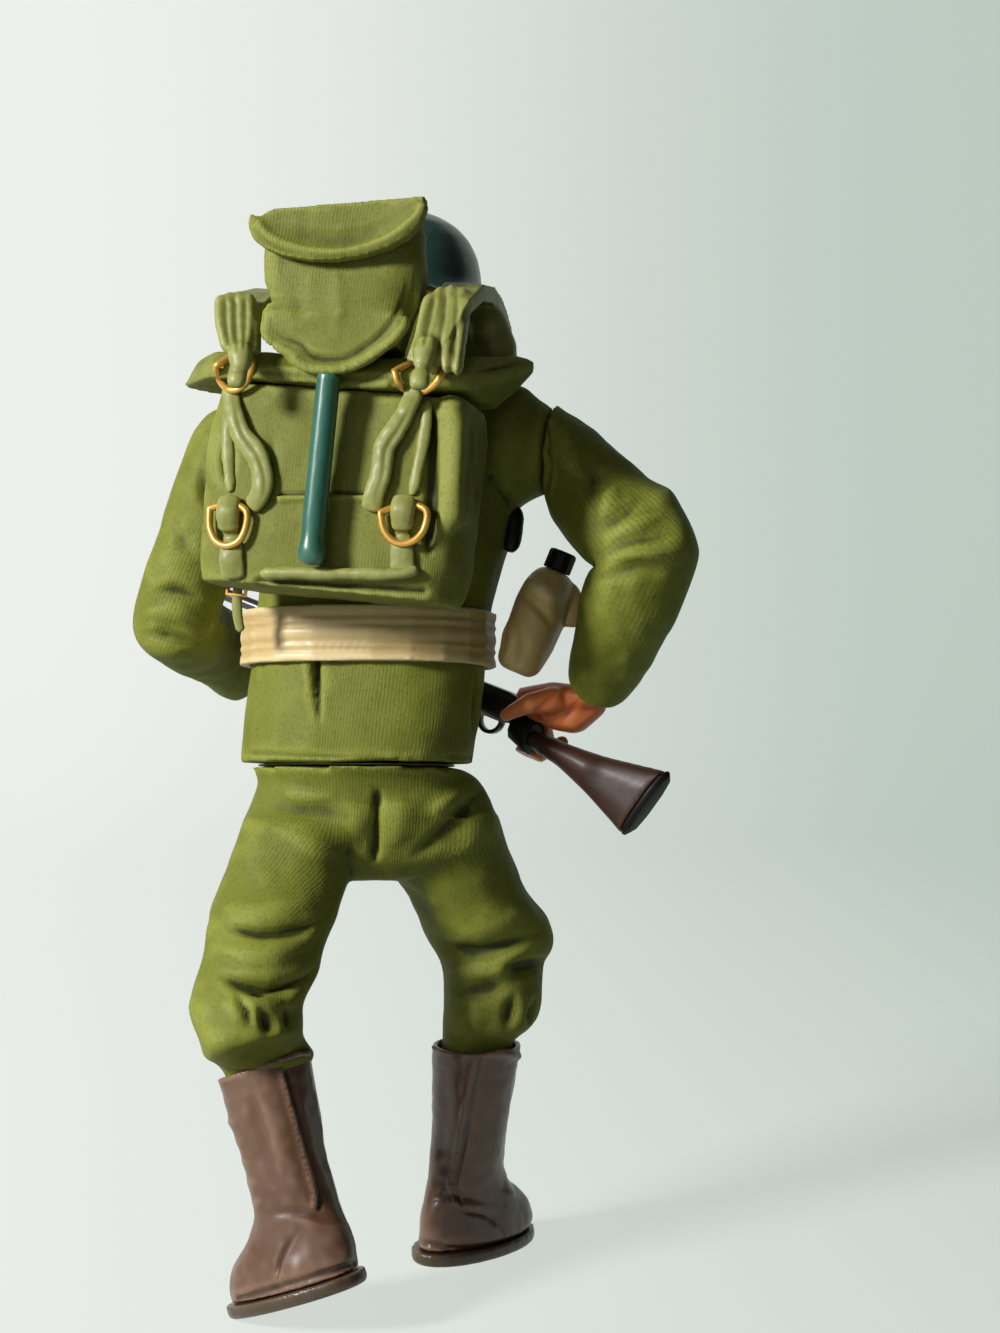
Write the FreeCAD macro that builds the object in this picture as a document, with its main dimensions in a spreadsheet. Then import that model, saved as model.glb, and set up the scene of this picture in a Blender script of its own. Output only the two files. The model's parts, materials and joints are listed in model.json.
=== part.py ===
import FreeCAD, Part
import math
import os
from FreeCAD import Placement, Rotation, Vector

# Toy soldier figure, about 12 cm tall, built from moulded pieces that plug together.
# The figure faces -Y, its left is +X, and it stands on its right sole and left toe.

doc = FreeCAD.newDocument("toy_soldier")
sheet = doc.addObject("Spreadsheet::Sheet", "sizes")

# Driving sizes in millimetres and angles in degrees.
SIZES = {
    # Stance.
    "waist_across": 5.6,  # waist centre, across from the camera-side reference line
    "waist_forward": 1.0,  # waist centre, behind the reference line
    "waist_height": 68.0,  # floor to the waist
    "torso_turn": -14.0,  # upper body turned to the figure's right, degrees
    "torso_roll": -5.0,  # upper body leaning to its right, degrees
    "torso_lean": 7.0,  # upper body leaning forward, degrees
    # Fits.
    "seat_gap": 0.3,  # gap between a seated piece and its seat
    "skin_gap": 0.1,  # gap between a band and what it wraps
    "pin_clearance": 0.05,  # radial clearance of a pin in its bore
    # Jacket.
    "hem_drop": 12.5,  # waist down to the jacket hem
    "hem_tilt": 6.4,  # hem plane tipped to the left, degrees
    "jacket_height": 51.0,  # hem to the top of the collar
    "jacket_half_width": 14.4,  # chest, half its width
    "jacket_half_depth": 9.0,  # chest, half its depth
    "shoulder_height": 22.9,  # waist up to the shoulder axle
    "shoulder_boss_radius": 4.8,  # round boss that carries a sleeve
    "right_boss_reach": 17.4,  # centre to the end of the right boss
    "left_boss_reach": 15.0,  # centre to the end of the left boss
    "shoulder_flare": 1.7,  # boss wider where it leaves the jacket
    "axle_radius": 1.6,  # shoulder axle
    "axle_bite": 4.0,  # axle length inside each sleeve
    "collar_bore_radius": 5.9,  # collar opening
    "collar_depth": 4.6,  # collar opening, depth
    "collar_across": 0.7,  # collar's middle, to the left
    "collar_slope": 31.0,  # collar's edge falling toward the throat, degrees
    "waist_peg_radius": 3.0,  # peg that joins trousers and jacket
    "waist_peg_bite": 5.5,  # peg length in each of the two
    # Belt.
    "belt_width": 5.9,  # height of the webbing belt
    "belt_drop": 2.0,  # waist down to the belt's lower edge
    "belt_thickness": 1.0,  # thickness at a rib
    "belt_groove": 0.25,  # depth of the grooves between ribs
    "belt_buckle_width": 5.2,  # front buckle plate
    "belt_buckle_height": 4.4,  # front buckle plate
    "belt_buckle_thickness": 0.8,  # front buckle plate
    # Head.
    "neck_across": 1.6,  # neck axis, across
    "neck_forward": 3.0,  # neck axis, in front of the waist axis
    "neck_radius": 4.1,  # neck
    "neck_peg_radius": 2.2,  # peg under the neck
    "neck_peg_length": 6.0,  # peg under the neck
    "head_height": 14.2,  # chin to crown
    "head_half_width": 5.2,  # half the head's width
    "head_half_depth": 6.3,  # half the head's depth
    "nose_reach": 1.5,  # nose in front of the face
    "helmet_across": 2.2,  # helmet centre, across
    "helmet_forward": 4.6,  # helmet centre, in front of the waist axis
    "helmet_top": 49.2,  # waist to the helmet's top
    "helmet_tilt": 5.5,  # helmet pushed back, degrees
    "helmet_height": 9.4,  # rim to top
    "helmet_radius": 8.5,  # dome radius above the flare
    "helmet_rim_radius": 10.2,  # flared rim
    "helmet_wall": 0.7,  # helmet wall
    # Pack.
    "pack_half_width": 14.0,  # pack body
    "pack_back": 21.0,  # pack body, far face behind the waist axis
    "pack_front": 9.4,  # pack body, face against the jacket
    "pack_bottom": 4.2,  # waist up to the pack's bottom
    "pack_height": 20.2,  # pack body
    "pack_corner": 2.6,  # rounding of the upright corners
    "pack_peg_side": 2.8,  # square peg between pack and jacket
    "pack_peg_bite": 3.0,  # peg length in each of the two
    "pack_peg_height": 14.0,  # waist up to the pack peg
    "lid_half_span": 19.6,  # pack lid, centre to the tip of a wing
    "lid_thickness": 3.6,  # pack lid at its middle
    "lid_overhang": 1.2,  # lid behind the pack body
    "pouch_half_width": 8.7,  # spade cover
    "pouch_front": 13.4,  # spade cover, near face
    "pouch_back": 24.4,  # spade cover, far face
    "pouch_height": 11.4,  # spade cover above the lid
    "pouch_tail": 3.4,  # spade cover hanging past the lid
    "pouch_tail_thickness": 1.6,  # spade cover tail
    "pouch_near_half_width": 5.0,  # spade cover, near the neck
    "pouch_across": 0.0,  # spade cover's middle, to the left
    "flap_half_width": 9.0,  # flap on the spade cover
    "flap_across": 0.5,  # flap's middle, to the left
    "flap_tilt": 7.5,  # flap sloping down to the left, degrees
    "flap_drop": 5.6,  # flap, depth of its curved front
    "flap_thickness": 1.4,  # flap
    "handle_radius": 1.3,  # shovel handle
    "handle_length": 18.8,  # shovel handle below the cover
    "strap_thickness": 0.9,  # webbing strap
    "strap_width": 2.2,  # webbing strap
    "bundle_width": 4.8,  # gathered strap at the shoulder
    "bundle_thickness": 1.7,  # gathered strap at the shoulder
    "buckle_width": 4.1,  # pack buckle
    "buckle_height": 4.2,  # pack buckle
    "buckle_bar": 0.65,  # pack buckle, width of its bar
    "buckle_thickness": 0.7,  # pack buckle
    "hip_strap_across": 9.3,  # hip strap, from the middle
    "hip_strap_width": 1.2,
    "hip_strap_length": 6.4,  # pack's underside down to the strap's end
    "hip_buckle_size": 2.3,
    "hip_buckle_bar": 0.45,
    "buckle_across": 9.1,  # pack buckle centres from the middle
    "upper_buckle_height": 25.2,  # waist up to the upper buckles
    "lower_buckle_height": 10.2,  # waist up to the lower buckles
    "piping_width": 1.0,  # piping along the pack's bottom edge
    # Canteen.
    "canteen_height": 11.6,  # cover, bottom to shoulder
    "canteen_half_width": 4.4,  # cover, front to back
    "canteen_half_depth": 2.8,  # cover, away from the hip
    "canteen_across": 16.0,  # centre of the cover from the middle
    "canteen_back": -1.6,  # centre of the cover behind the waist axis
    "canteen_bottom": -0.8,  # waist to the cover's bottom
    "canteen_tilt": 16.0,  # cover leaning outward, degrees
    "lobe_radius": 1.3,  # folded flap of the cover, half its thickness
    "cap_radius": 1.55,  # screw cap
    "cap_height": 2.2,  # screw cap
    # Case.
    "case_length": 5.0,  # round case under the right arm
    "case_radius": 1.1,  # round case under the right arm
    "case_height": 14.4,  # waist up to the case's middle
    # Sleeves.
    "right_reach": 30.4,  # centre to the right elbow
    "right_cuff_reach": 24.3,  # centre to the right cuff
    "right_elbow_drop": 10.8,  # shoulder axle down to the right elbow
    "right_cuff_drop": 24.8,  # shoulder axle down to the right cuff
    "left_reach": 21.9,  # centre to the left elbow
    "left_elbow_drop": 22.4,  # shoulder axle down to the left elbow
    "left_forearm": 16.4,  # left elbow to cuff
    "sleeve_radius": 5.6,  # right sleeve at its fullest
    "left_sleeve_radius": 4.6,  # left sleeve at its fullest
    # Hands.
    "palm_length": 7.4,  # hand, cuff to knuckles
    "palm_half_width": 2.2,  # hand
    "palm_half_depth": 1.5,  # hand
    # Rifle.
    "grip_across": -16.6,  # rifle grip, across
    "grip_forward": 8.8,  # rifle grip in front of the waist axis
    "grip_drop": 5.2,  # rifle grip below the waist
    "rifle_swing": -17.5,  # bore line turned away from straight across, degrees
    "rifle_rise": 14.0,  # bore line rising to the figure's left, degrees
    "butt_length": 16.4,  # grip to butt plate
    "butt_height": 8.6,  # butt at its plate
    "butt_drop": 4.0,  # middle of the butt below the bore line
    "butt_rake": 18.0,  # butt plate tipped so that its toe is nearer the grip, degrees
    "wrist_drop": 2.2,  # middle of the wrist below the bore line
    "butt_half_thickness": 1.5,  # butt at its plate
    "plate_thickness": 0.8,  # butt plate
    "grip_radius": 1.65,  # grip of the stock
    "collar_length": 2.6,  # dark collar at the grip
    "receiver_length": 11.0,  # receiver
    "receiver_height": 3.7,  # receiver
    "receiver_half_width": 1.35,  # receiver
    "forend_length": 18.0,  # wooden forend
    "forend_radius": 1.55,  # wooden forend
    "barrel_radius": 0.75,  # barrel
    "barrel_length": 18.5,  # barrel past the forend
    "sight_height": 1.1,  # front sight
    "guard_radius": 1.7,  # trigger guard
    "guard_wire": 0.45,  # trigger guard strip
    # Legs.
    "leg_span": 45.2,  # floor to the fork of the hips
    "hip_half_width": 14.0,  # hips
    "hip_half_depth": 8.3,  # hips
    "thigh_half_width": 7.0,  # thigh
    "waist_inset": 0.9,  # trousers inside the hem line
    # Boots.
    "boot_height": 23.6,  # sole to rim
    "boot_length": 16.2,  # heel to toe
    "boot_heel": 6.0,  # shaft axis to the back of the heel
    "boot_half_width": 4.3,  # boot at the ball of the foot
    "boot_rim_radius": 5.0,  # shaft at the rim
    "boot_wall": 0.75,  # shaft wall at the rim
    "boot_socket": 2.4,  # depth of the leg socket
    "sole_thickness": 1.4,  # sole plate
    "welt": 0.5,  # sole plate past the upper
    "right_shaft_out": 1.0,  # right rim outward of the ankle
    "right_shaft_forward": 1.6,  # right rim in front of the ankle
    "left_shaft_out": -2.4,  # left rim outward of the ankle
    "left_shaft_forward": -0.6,  # left rim in front of the ankle
    "right_foot_across": -4.1,  # right ankle, across
    "right_foot_back": -3.9,  # right ankle
    "right_foot_turn": -45.0,  # right toes turned out, degrees
    "left_foot_across": 10.3,  # left ankle, across
    "left_foot_back": 19.4,  # left ankle
    "left_foot_turn": 60.0,  # left toes turned out, degrees
    "left_foot_pitch": 21.0,  # left heel raised, degrees
    "toe_flat": 0.45,  # depth of the flat under the left toe
}

for row, (alias, value) in enumerate(SIZES.items(), 1):
    sheet.set("A%d" % row, alias)
    sheet.set("B%d" % row, str(value))
    sheet.setAlias("B%d" % row, alias)
doc.recompute()

X_AXIS = Vector(1, 0, 0)
Y_AXIS = Vector(0, 1, 0)
Z_AXIS = Vector(0, 0, 1)
FLAT_LIMIT = 1e-7
nodes = []


def mm(alias):
    """A size or an angle from the sheet."""
    return float(sheet.get(alias))


def feature(name, shape, place=None):
    """One named piece: its shape in its own frame, then its place."""
    piece = doc.addObject("Part::Feature", name)
    piece.Label = name
    piece.Shape = shape
    piece.Placement = place if place else Placement()
    nodes.append(piece)
    return piece


def outline(centre, half_width, half_depth, sides, across=X_AXIS, along=Y_AXIS, round_share=1.0):
    """Points round a section with flats on its main sides; a low round share squares it."""
    points = []
    for i in range(sides):
        angle = 2 * math.pi * (i + 0.5) / sides
        u = math.copysign(abs(math.cos(angle)) ** round_share, math.cos(angle))
        v = math.copysign(abs(math.sin(angle)) ** round_share, math.sin(angle))
        points.append(centre + across * (u * half_width) + along * (v * half_depth))
    return points


def egg(centre, back, front, back_half, front_half, sides, round_share=0.85):
    """An outline with different half widths at its back and front and round at both ends."""
    points = []
    for i in range(sides):
        angle = 2 * math.pi * (i + 0.5) / sides
        forward_share = (1 - math.cos(angle)) / 2
        half = back_half + (front_half - back_half) * forward_share
        wide = math.copysign(abs(math.sin(angle)) ** round_share, math.sin(angle))
        deep = math.copysign(abs(math.cos(angle)) ** round_share, math.cos(angle))
        y = (back - front) / 2 + deep * (back + front) / 2
        points.append(centre + Vector(wide * half, y, 0))
    return points


def moved(place, points):
    return [place.multVec(point) for point in points]


def facet(*points):
    return Part.Face(Part.makePolygon(list(points) + [points[0]]))


def skin(sections):
    """A solid through sections of equally many points, in flat quads or triangles."""
    faces = [facet(*sections[0]), facet(*sections[-1])]
    for low, high in zip(sections[:-1], sections[1:]):
        for i in range(len(low)):
            j = (i + 1) % len(low)
            a, b, c, d = low[i], low[j], high[j], high[i]
            twist = abs((b - a).cross(c - a).dot(d - a))
            if twist < FLAT_LIMIT:
                faces.append(facet(a, b, c, d))
            else:
                faces.append(facet(a, b, c))
                faces.append(facet(a, c, d))
    solid = Part.Solid(Part.Shell(faces))
    if solid.Volume < 0:
        solid.reverse()
    return solid


def limb(stations, sides, first_tangent=None, first_across=Y_AXIS):
    """A limb through (point, half width, half depth) stations, each cut square to the path."""
    points = [station[0] for station in stations]
    sections = []
    along = first_across
    for i, (point, half_width, half_depth) in enumerate(stations):
        ahead = points[min(i + 1, len(points) - 1)]
        behind = points[max(i - 1, 0)]
        tangent = (ahead - behind).normalize()
        if first_tangent is not None and i < 2:
            tangent = (first_tangent + (ahead - point).normalize() * i).normalize()
        across = along.cross(tangent).normalize()
        along = tangent.cross(across).normalize()
        sections.append(outline(point, half_width, half_depth, sides, across, along))
    return skin(sections)


def bar(points, width, thickness, flat_side, wide_side=None):
    """A flat strap along points; flat_side points out of its face, or wide_side along its width."""
    sections = []
    for i, point in enumerate(points):
        ahead = points[min(i + 1, len(points) - 1)]
        behind = points[max(i - 1, 0)]
        tangent = (ahead - behind).normalize()
        across = wide_side - tangent * wide_side.dot(tangent) if wide_side else tangent.cross(flat_side)
        across = across.normalize() * (width[i] / 2)
        out = tangent.cross(across).normalize() * (thickness / 2)
        sections.append([point + across + out, point - across + out, point - across - out, point + across - out])
    return skin(sections)


def plate(points, depth):
    """A flat plate from a closed outline, thickened by the vector depth."""
    return facet(*points).extrude(depth)


def pin(radius, start, direction, length):
    return Part.makeCylinder(radius, length, start, direction)


# The frames that the pieces are built in.
torso = Placement(
    Vector(mm("waist_across"), mm("waist_forward"), mm("waist_height")),
    Rotation(mm("torso_turn"), mm("torso_roll"), mm("torso_lean")),
)
hem = torso * Placement(Vector(0, 0, -mm("hem_drop")), Rotation(0, mm("hem_tilt"), 0))
right_foot = Placement(
    Vector(mm("right_foot_across"), mm("right_foot_back"), 0),
    Rotation(mm("right_foot_turn"), 0, 0),
)
toe_reach = mm("boot_length") - mm("boot_heel") + mm("welt")
toe_drop = toe_reach * math.sin(math.radians(mm("left_foot_pitch"))) - mm("toe_flat")
left_foot = Placement(
    Vector(mm("left_foot_across"), mm("left_foot_back"), toe_drop),
    Rotation(mm("left_foot_turn"), 0, mm("left_foot_pitch")),
)
axle_point = Vector(0, 0, mm("shoulder_height"))
neck_point = Vector(
    mm("neck_across"), -mm("neck_forward"), mm("jacket_height") - mm("hem_drop") - mm("collar_depth")
)

# Jacket: shares of its height, half width and half depth, and how far a section comes forward.
JACKET_SIDES = 20
BOSS_SIDES = 24
JACKET_ROUND_SHARE = 0.8
JACKET_SHARES = (
    (0.080, 0.880, 1.020, 0.00),
    (0.200, 0.880, 0.975, 0.00),
    (0.345, 0.885, 0.955, 0.00),
    (0.480, 0.955, 0.980, 0.00),
    (0.600, 1.000, 1.000, 0.00),
    (0.765, 1.000, 0.940, 0.02),
    (0.835, 0.900, 0.840, 0.05),
    (0.895, 0.735, 0.770, 0.12),
    (0.945, 0.630, 0.800, 0.18),
    (1.000, 0.590, 0.850, 0.24),
)
HEM_SHARES = (0.87, 1.04)


def jacket_section(share_row, grow=0.0):
    height, width, depth, lead = share_row
    centre = Vector(
        lead / JACKET_SHARES[-1][3] * mm("collar_across"),
        -lead * mm("jacket_half_depth"),
        height * mm("jacket_height") - mm("hem_drop"),
    )
    return outline(
        centre,
        width * mm("jacket_half_width") + grow,
        depth * mm("jacket_half_depth") + grow,
        JACKET_SIDES,
        round_share=JACKET_ROUND_SHARE,
    )


def tipped_section(height, half_width, half_depth):
    """A section of the jacket on a plane tipped like the hem."""
    tip = Placement(Vector(0, 0, height), Rotation(0, mm("hem_tilt"), 0))
    return moved(tip, outline(Vector(), half_width, half_depth, JACKET_SIDES, round_share=JACKET_ROUND_SHARE))


def make_boss(side):
    """The shoulder's round end, flared into the jacket; the sleeve starts against its flat face."""
    reach = mm("left_boss_reach") if side > 0 else mm("right_boss_reach")
    radius = mm("shoulder_boss_radius")
    flare = radius + mm("shoulder_flare")
    rows = ((0.3, flare), (0.8, flare), (0.89, (radius + flare) / 2), (0.94, radius), (1.0, radius))
    return skin(
        [
            outline(axle_point + X_AXIS * (side * share * reach), wide, wide, BOSS_SIDES, Y_AXIS, Z_AXIS)
            for share, wide in rows
        ]
    )


def pack_peg_room():
    """The square socket that the pack's peg fits, deep enough for both of its ends."""
    side = mm("pack_peg_side") + 2 * mm("pin_clearance")
    depth = 2 * (mm("pack_peg_bite") + mm("seat_gap"))
    corner = Vector(-side / 2, mm("pack_front") - depth / 2, mm("pack_peg_height") - side / 2)
    return Part.makeBox(side, depth, side, corner)


def largest(shape):
    """The main solid that a cut leaves."""
    return max(shape.Solids, key=lambda solid: solid.Volume)


def jacket_skin(grow=0.0):
    """The jacket's outer form, or the room it takes when grown by a gap."""
    hem_section = tipped_section(
        -mm("hem_drop"),
        HEM_SHARES[0] * mm("jacket_half_width") + grow,
        HEM_SHARES[1] * mm("jacket_half_depth") + grow,
    )
    return skin([hem_section] + [jacket_section(shares, grow) for shares in JACKET_SHARES])


def above_collar():
    """The space above the collar's edge, which falls toward the throat."""
    reach = 2 * mm("jacket_half_width")
    space = Part.makeBox(2 * reach, 2 * reach, reach, Vector(-reach, -reach, 0))
    back = jacket_section(JACKET_SHARES[-1])
    pivot = Vector(0, max(point.y for point in back) / 2, mm("jacket_height") - mm("hem_drop"))
    space.Placement = Placement(pivot, Rotation(X_AXIS, mm("collar_slope")))
    return space


def make_jacket():
    body = jacket_skin().cut(above_collar())
    boss_span = mm("right_boss_reach") + mm("left_boss_reach")
    body = body.fuse([make_boss(-1), make_boss(1)])
    axle_span = boss_span + mm("axle_bite")
    body = body.cut(
        pin(
            mm("axle_radius") + mm("pin_clearance"),
            axle_point - X_AXIS * (mm("right_boss_reach") + mm("axle_bite")),
            X_AXIS,
            axle_span + mm("axle_bite"),
        )
    )
    body = body.cut(pin(mm("collar_bore_radius"), neck_point, Z_AXIS, mm("jacket_height")))
    body = body.cut(
        pin(
            mm("neck_peg_radius") + mm("pin_clearance"),
            neck_point,
            -Z_AXIS,
            mm("neck_peg_length") + mm("seat_gap"),
        )
    )
    body = body.cut(pack_peg_room())
    waist_bore = pin(
        mm("waist_peg_radius") + mm("pin_clearance"), Vector(0, 0, 0), Z_AXIS, mm("waist_peg_bite") + mm("seat_gap")
    )
    waist_bore.Placement = torso.inverse() * hem
    return body.cut(waist_bore)


feature("jacket", make_jacket(), torso)

# Belt: ribs of webbing round the waist, with a plain plate at the front.
BELT_RIB_SHARES = (0.0, 0.12, 0.2, 0.28, 0.36, 0.44, 0.56, 0.64, 0.72, 0.8, 0.88, 1.0)
BELT_HOLLOW_ROWS = (2, 4, 7, 9)
BELT_WIDTH_SHARE = 0.89
BELT_DEPTH_SHARE = 0.978
BELT_TILT_SHARE = 0.95


def make_belt():
    half_width = BELT_WIDTH_SHARE * mm("jacket_half_width") + mm("skin_gap")
    half_depth = BELT_DEPTH_SHARE * mm("jacket_half_depth") + mm("skin_gap")
    tip = Placement(
        Vector(0, 0, -mm("belt_drop")), Rotation(0, BELT_TILT_SHARE * mm("hem_tilt"), 0)
    )
    sections = []
    for i, share in enumerate(BELT_RIB_SHARES):
        out = mm("belt_thickness") - (mm("belt_groove") if i in BELT_HOLLOW_ROWS else 0)
        sections.append(
            outline(
                Vector(0, 0, share * mm("belt_width")),
                half_width + out,
                half_depth + out,
                JACKET_SIDES,
                round_share=JACKET_ROUND_SHARE,
            )
        )
    ring = skin([moved(tip, section) for section in sections])
    return ring.cut(jacket_skin(mm("skin_gap"))), tip, half_depth


belt_shape, belt_tip, belt_half_depth = make_belt()
feature("belt", belt_shape, torso)
buckle_plate = Part.makeBox(
    mm("belt_buckle_width"),
    mm("belt_buckle_thickness"),
    mm("belt_buckle_height"),
    Vector(
        -mm("belt_buckle_width") / 2,
        -belt_half_depth - mm("belt_thickness") - mm("belt_buckle_thickness"),
        (mm("belt_width") - mm("belt_buckle_height")) / 2,
    ),
)
feature("belt_buckle", buckle_plate, torso * belt_tip)

# Trousers: shares of the crotch height, then the across and forward places of each leg's sections.
LEG_SIDES = 16
HIP_SHARES = (
    (1.195, 0.40, 0.850, 1.02),
    (1.140, 0.39, 0.940, 1.02),
    (1.075, 0.38, 0.990, 0.98),
    (1.015, 0.37, 0.900, 0.84),
    (0.960, 0.37, 0.420, 0.55),
)


def leg_section(place, half_width, half_depth):
    return outline(place, half_width, half_depth, LEG_SIDES, round_share=0.92)


# Each row: height, across and back as shares of the crotch height, then half width and half depth
# as shares of the thigh's or the knee's half width.
RIGHT_LEG_SHARES = (
    (1.120, -0.020, 0.020, 1.00, 1.08),
    (1.000, -0.062, -0.030, 0.99, 1.06),
    (0.905, -0.105, -0.066, 0.97, 1.03),
    (0.830, -0.150, -0.100, 1.05, 1.02),
    (0.772, -0.168, -0.112, 1.03, 0.98),
    (0.725, -0.166, -0.108, 0.80, 0.86),
    (0.640, -0.172, -0.098, 0.80, 0.88),
    (0.580, -0.166, -0.090, 0.76, 0.82),
)
LEFT_LEG_SHARES = (
    (1.120, 0.265, 0.045, 1.02, 1.10),
    (0.985, 0.312, 0.115, 0.97, 1.08),
    (0.895, 0.343, 0.185, 1.00, 1.04),
    (0.825, 0.355, 0.245, 0.89, 0.96),
    (0.775, 0.360, 0.280, 0.92, 0.98),
    (0.715, 0.393, 0.325, 0.84, 0.94),
    (0.665, 0.380, 0.358, 0.79, 0.88),
)


def shaft_centre(side, height):
    """The boot shaft's axis at a height, in the foot's frame."""
    word = "left" if side > 0 else "right"
    share = height / mm("boot_height")
    return Vector(side * mm(word + "_shaft_out") * share, -mm(word + "_shaft_forward") * share, height)


def make_leg(shares, foot, side):
    """One trouser leg; its last sections plug into the boot's socket."""
    scale = mm("leg_span")
    sections = [
        leg_section(
            Vector(across * scale, back * scale, height * scale),
            wide * mm("thigh_half_width"),
            deep * mm("thigh_half_width"),
        )
        for height, across, back, wide, deep in shares
    ]
    plug_radius = mm("boot_rim_radius") - mm("boot_wall") - mm("seat_gap")
    rim = mm("boot_height")
    turn = mm("left_foot_turn") if side > 0 else mm("right_foot_turn")
    for height in (rim + mm("boot_wall"), rim - mm("boot_socket") + mm("seat_gap")):
        unturned = Placement(shaft_centre(side, height), Rotation(-turn, 0, 0))
        sections.append(moved(foot * unturned, leg_section(Vector(), plug_radius, plug_radius)))
    return skin(sections)


def make_trousers():
    top = moved(
        hem,
        leg_section(
            Vector(0, 0, -mm("seat_gap")),
            HEM_SHARES[0] * mm("jacket_half_width") - mm("waist_inset"),
            HEM_SHARES[1] * mm("jacket_half_depth") - mm("waist_inset"),
        ),
    )
    scale = mm("leg_span")
    hips = skin(
        [top]
        + [
            leg_section(
                Vector(across * mm("hip_half_width"), mm("waist_forward"), height * scale),
                wide * mm("hip_half_width"),
                deep * mm("hip_half_depth"),
            )
            for height, across, wide, deep in HIP_SHARES
        ]
    )
    legs = [make_leg(RIGHT_LEG_SHARES, right_foot, -1), make_leg(LEFT_LEG_SHARES, left_foot, 1)]
    solid = hips.fuse(legs)
    bore = pin(
        mm("waist_peg_radius") + mm("pin_clearance"), Vector(0, 0, 0), -Z_AXIS, mm("waist_peg_bite") + mm("seat_gap")
    )
    bore.Placement = hem
    return solid.cut(bore)


feature("trousers", make_trousers())

waist_peg = doc.addObject("Part::Cylinder", "waist_peg")
waist_peg.Label = "waist_peg"
waist_peg.setExpression("Radius", "sizes.waist_peg_radius * 1mm")
waist_peg.setExpression("Height", "sizes.waist_peg_bite * 2mm")
waist_peg.Placement = hem * Placement(Vector(0, 0, -mm("waist_peg_bite")), Rotation())
nodes.append(waist_peg)

# Boots: horizontal sections as shares of height, back, front, heel width and ball width.
BOOT_SIDES = 20
SOLE_SIDES = 28
BOOT_ROUND_SHARE = 0.95
# How far back and forward the section reaches from the shaft's axis, in boot half widths, then
# its half widths at the heel and at the ball.
BOOT_SHARES = (
    (0.000, 1.36, 2.30, 0.90, 0.98),
    (0.060, 1.39, 2.32, 0.93, 1.00),
    (0.140, 1.36, 2.16, 0.91, 0.94),
    (0.200, 1.30, 1.86, 0.89, 0.86),
    (0.255, 1.22, 1.42, 0.88, 0.82),
    (0.315, 1.13, 1.12, 0.88, 0.80),
    (0.380, 1.07, 0.98, 0.89, 0.82),
    (0.500, 1.03, 0.95, 0.94, 0.90),
    (0.740, 1.08, 1.03, 1.04, 1.02),
    (0.940, 1.14, 1.12, 1.12, 1.11),
    (1.000, 1.17, 1.15, 1.15, 1.14),
)


def make_boot(side):
    low = mm("sole_thickness") + mm("skin_gap")
    rise = mm("boot_height") - low
    half = mm("boot_half_width")
    sections = [
        egg(
            shaft_centre(side, low + height * rise),
            back * half,
            front * half,
            heel * half,
            ball * half,
            BOOT_SIDES,
            BOOT_ROUND_SHARE,
        )
        for height, back, front, heel, ball in BOOT_SHARES
    ]
    rim = mm("boot_height")
    radius = mm("boot_rim_radius") - mm("boot_wall")
    socket = [
        leg_section(shaft_centre(side, height), radius, radius)
        for height in (rim - mm("boot_socket"), rim + mm("boot_socket"))
    ]
    return skin(sections).cut(skin(socket))


SOLE_SHARES = ((0.0, 0.96), (0.15, 1.0), (1.0, 1.0))


def make_sole():
    """The sole plate, a welt wider than the upper all round."""
    heel, ball = BOOT_SHARES[1][3] * mm("boot_half_width"), BOOT_SHARES[1][4] * mm("boot_half_width")
    back, front = BOOT_SHARES[1][1] * mm("boot_half_width"), BOOT_SHARES[1][2] * mm("boot_half_width")
    welt = mm("welt")
    return skin(
        [
            egg(
                Z_AXIS * (rise * mm("sole_thickness")),
                wide * (back + welt),
                wide * (front + welt),
                wide * (heel + welt),
                wide * (ball + welt),
                SOLE_SIDES,
                BOOT_ROUND_SHARE,
            )
            for rise, wide in SOLE_SHARES
        ]
    )


def worn_flat(shape, place):
    """Cuts away what would lie below the floor once the piece is placed."""
    reach = 2 * mm("boot_length")
    floor = Part.makeBox(2 * reach, 2 * reach, reach, Vector(-reach, -reach, -reach))
    floor.Placement = Placement(place.inverse().toMatrix()) * Placement(Vector(place.Base.x, place.Base.y, 0), Rotation())
    return shape.cut(floor)


feature("right_boot", make_boot(-1), right_foot)
feature("left_boot", make_boot(1), left_foot)
feature("right_sole", make_sole(), right_foot)
feature("left_sole", worn_flat(make_sole(), left_foot), left_foot)

# Head: shares of its height, then half width, half depth and how far the section comes forward.
HEAD_SIDES = 16
HEAD_SHARES = (
    (0.000, 0.34, 0.30, 0.46),
    (0.070, 0.62, 0.52, 0.34),
    (0.200, 0.82, 0.82, 0.14),
    (0.380, 0.94, 0.96, 0.04),
    (0.560, 1.00, 1.00, 0.00),
    (0.740, 0.96, 0.96, 0.00),
    (0.890, 0.72, 0.72, 0.00),
    (1.000, 0.28, 0.28, 0.00),
)
NOSE_SHARES = (0.34, 0.58, 0.22)


def head_base():
    """Height of the chin, set from the crown that carries the helmet."""
    return mm("helmet_top") - mm("helmet_wall") - mm("seat_gap") - mm("head_height")


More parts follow.
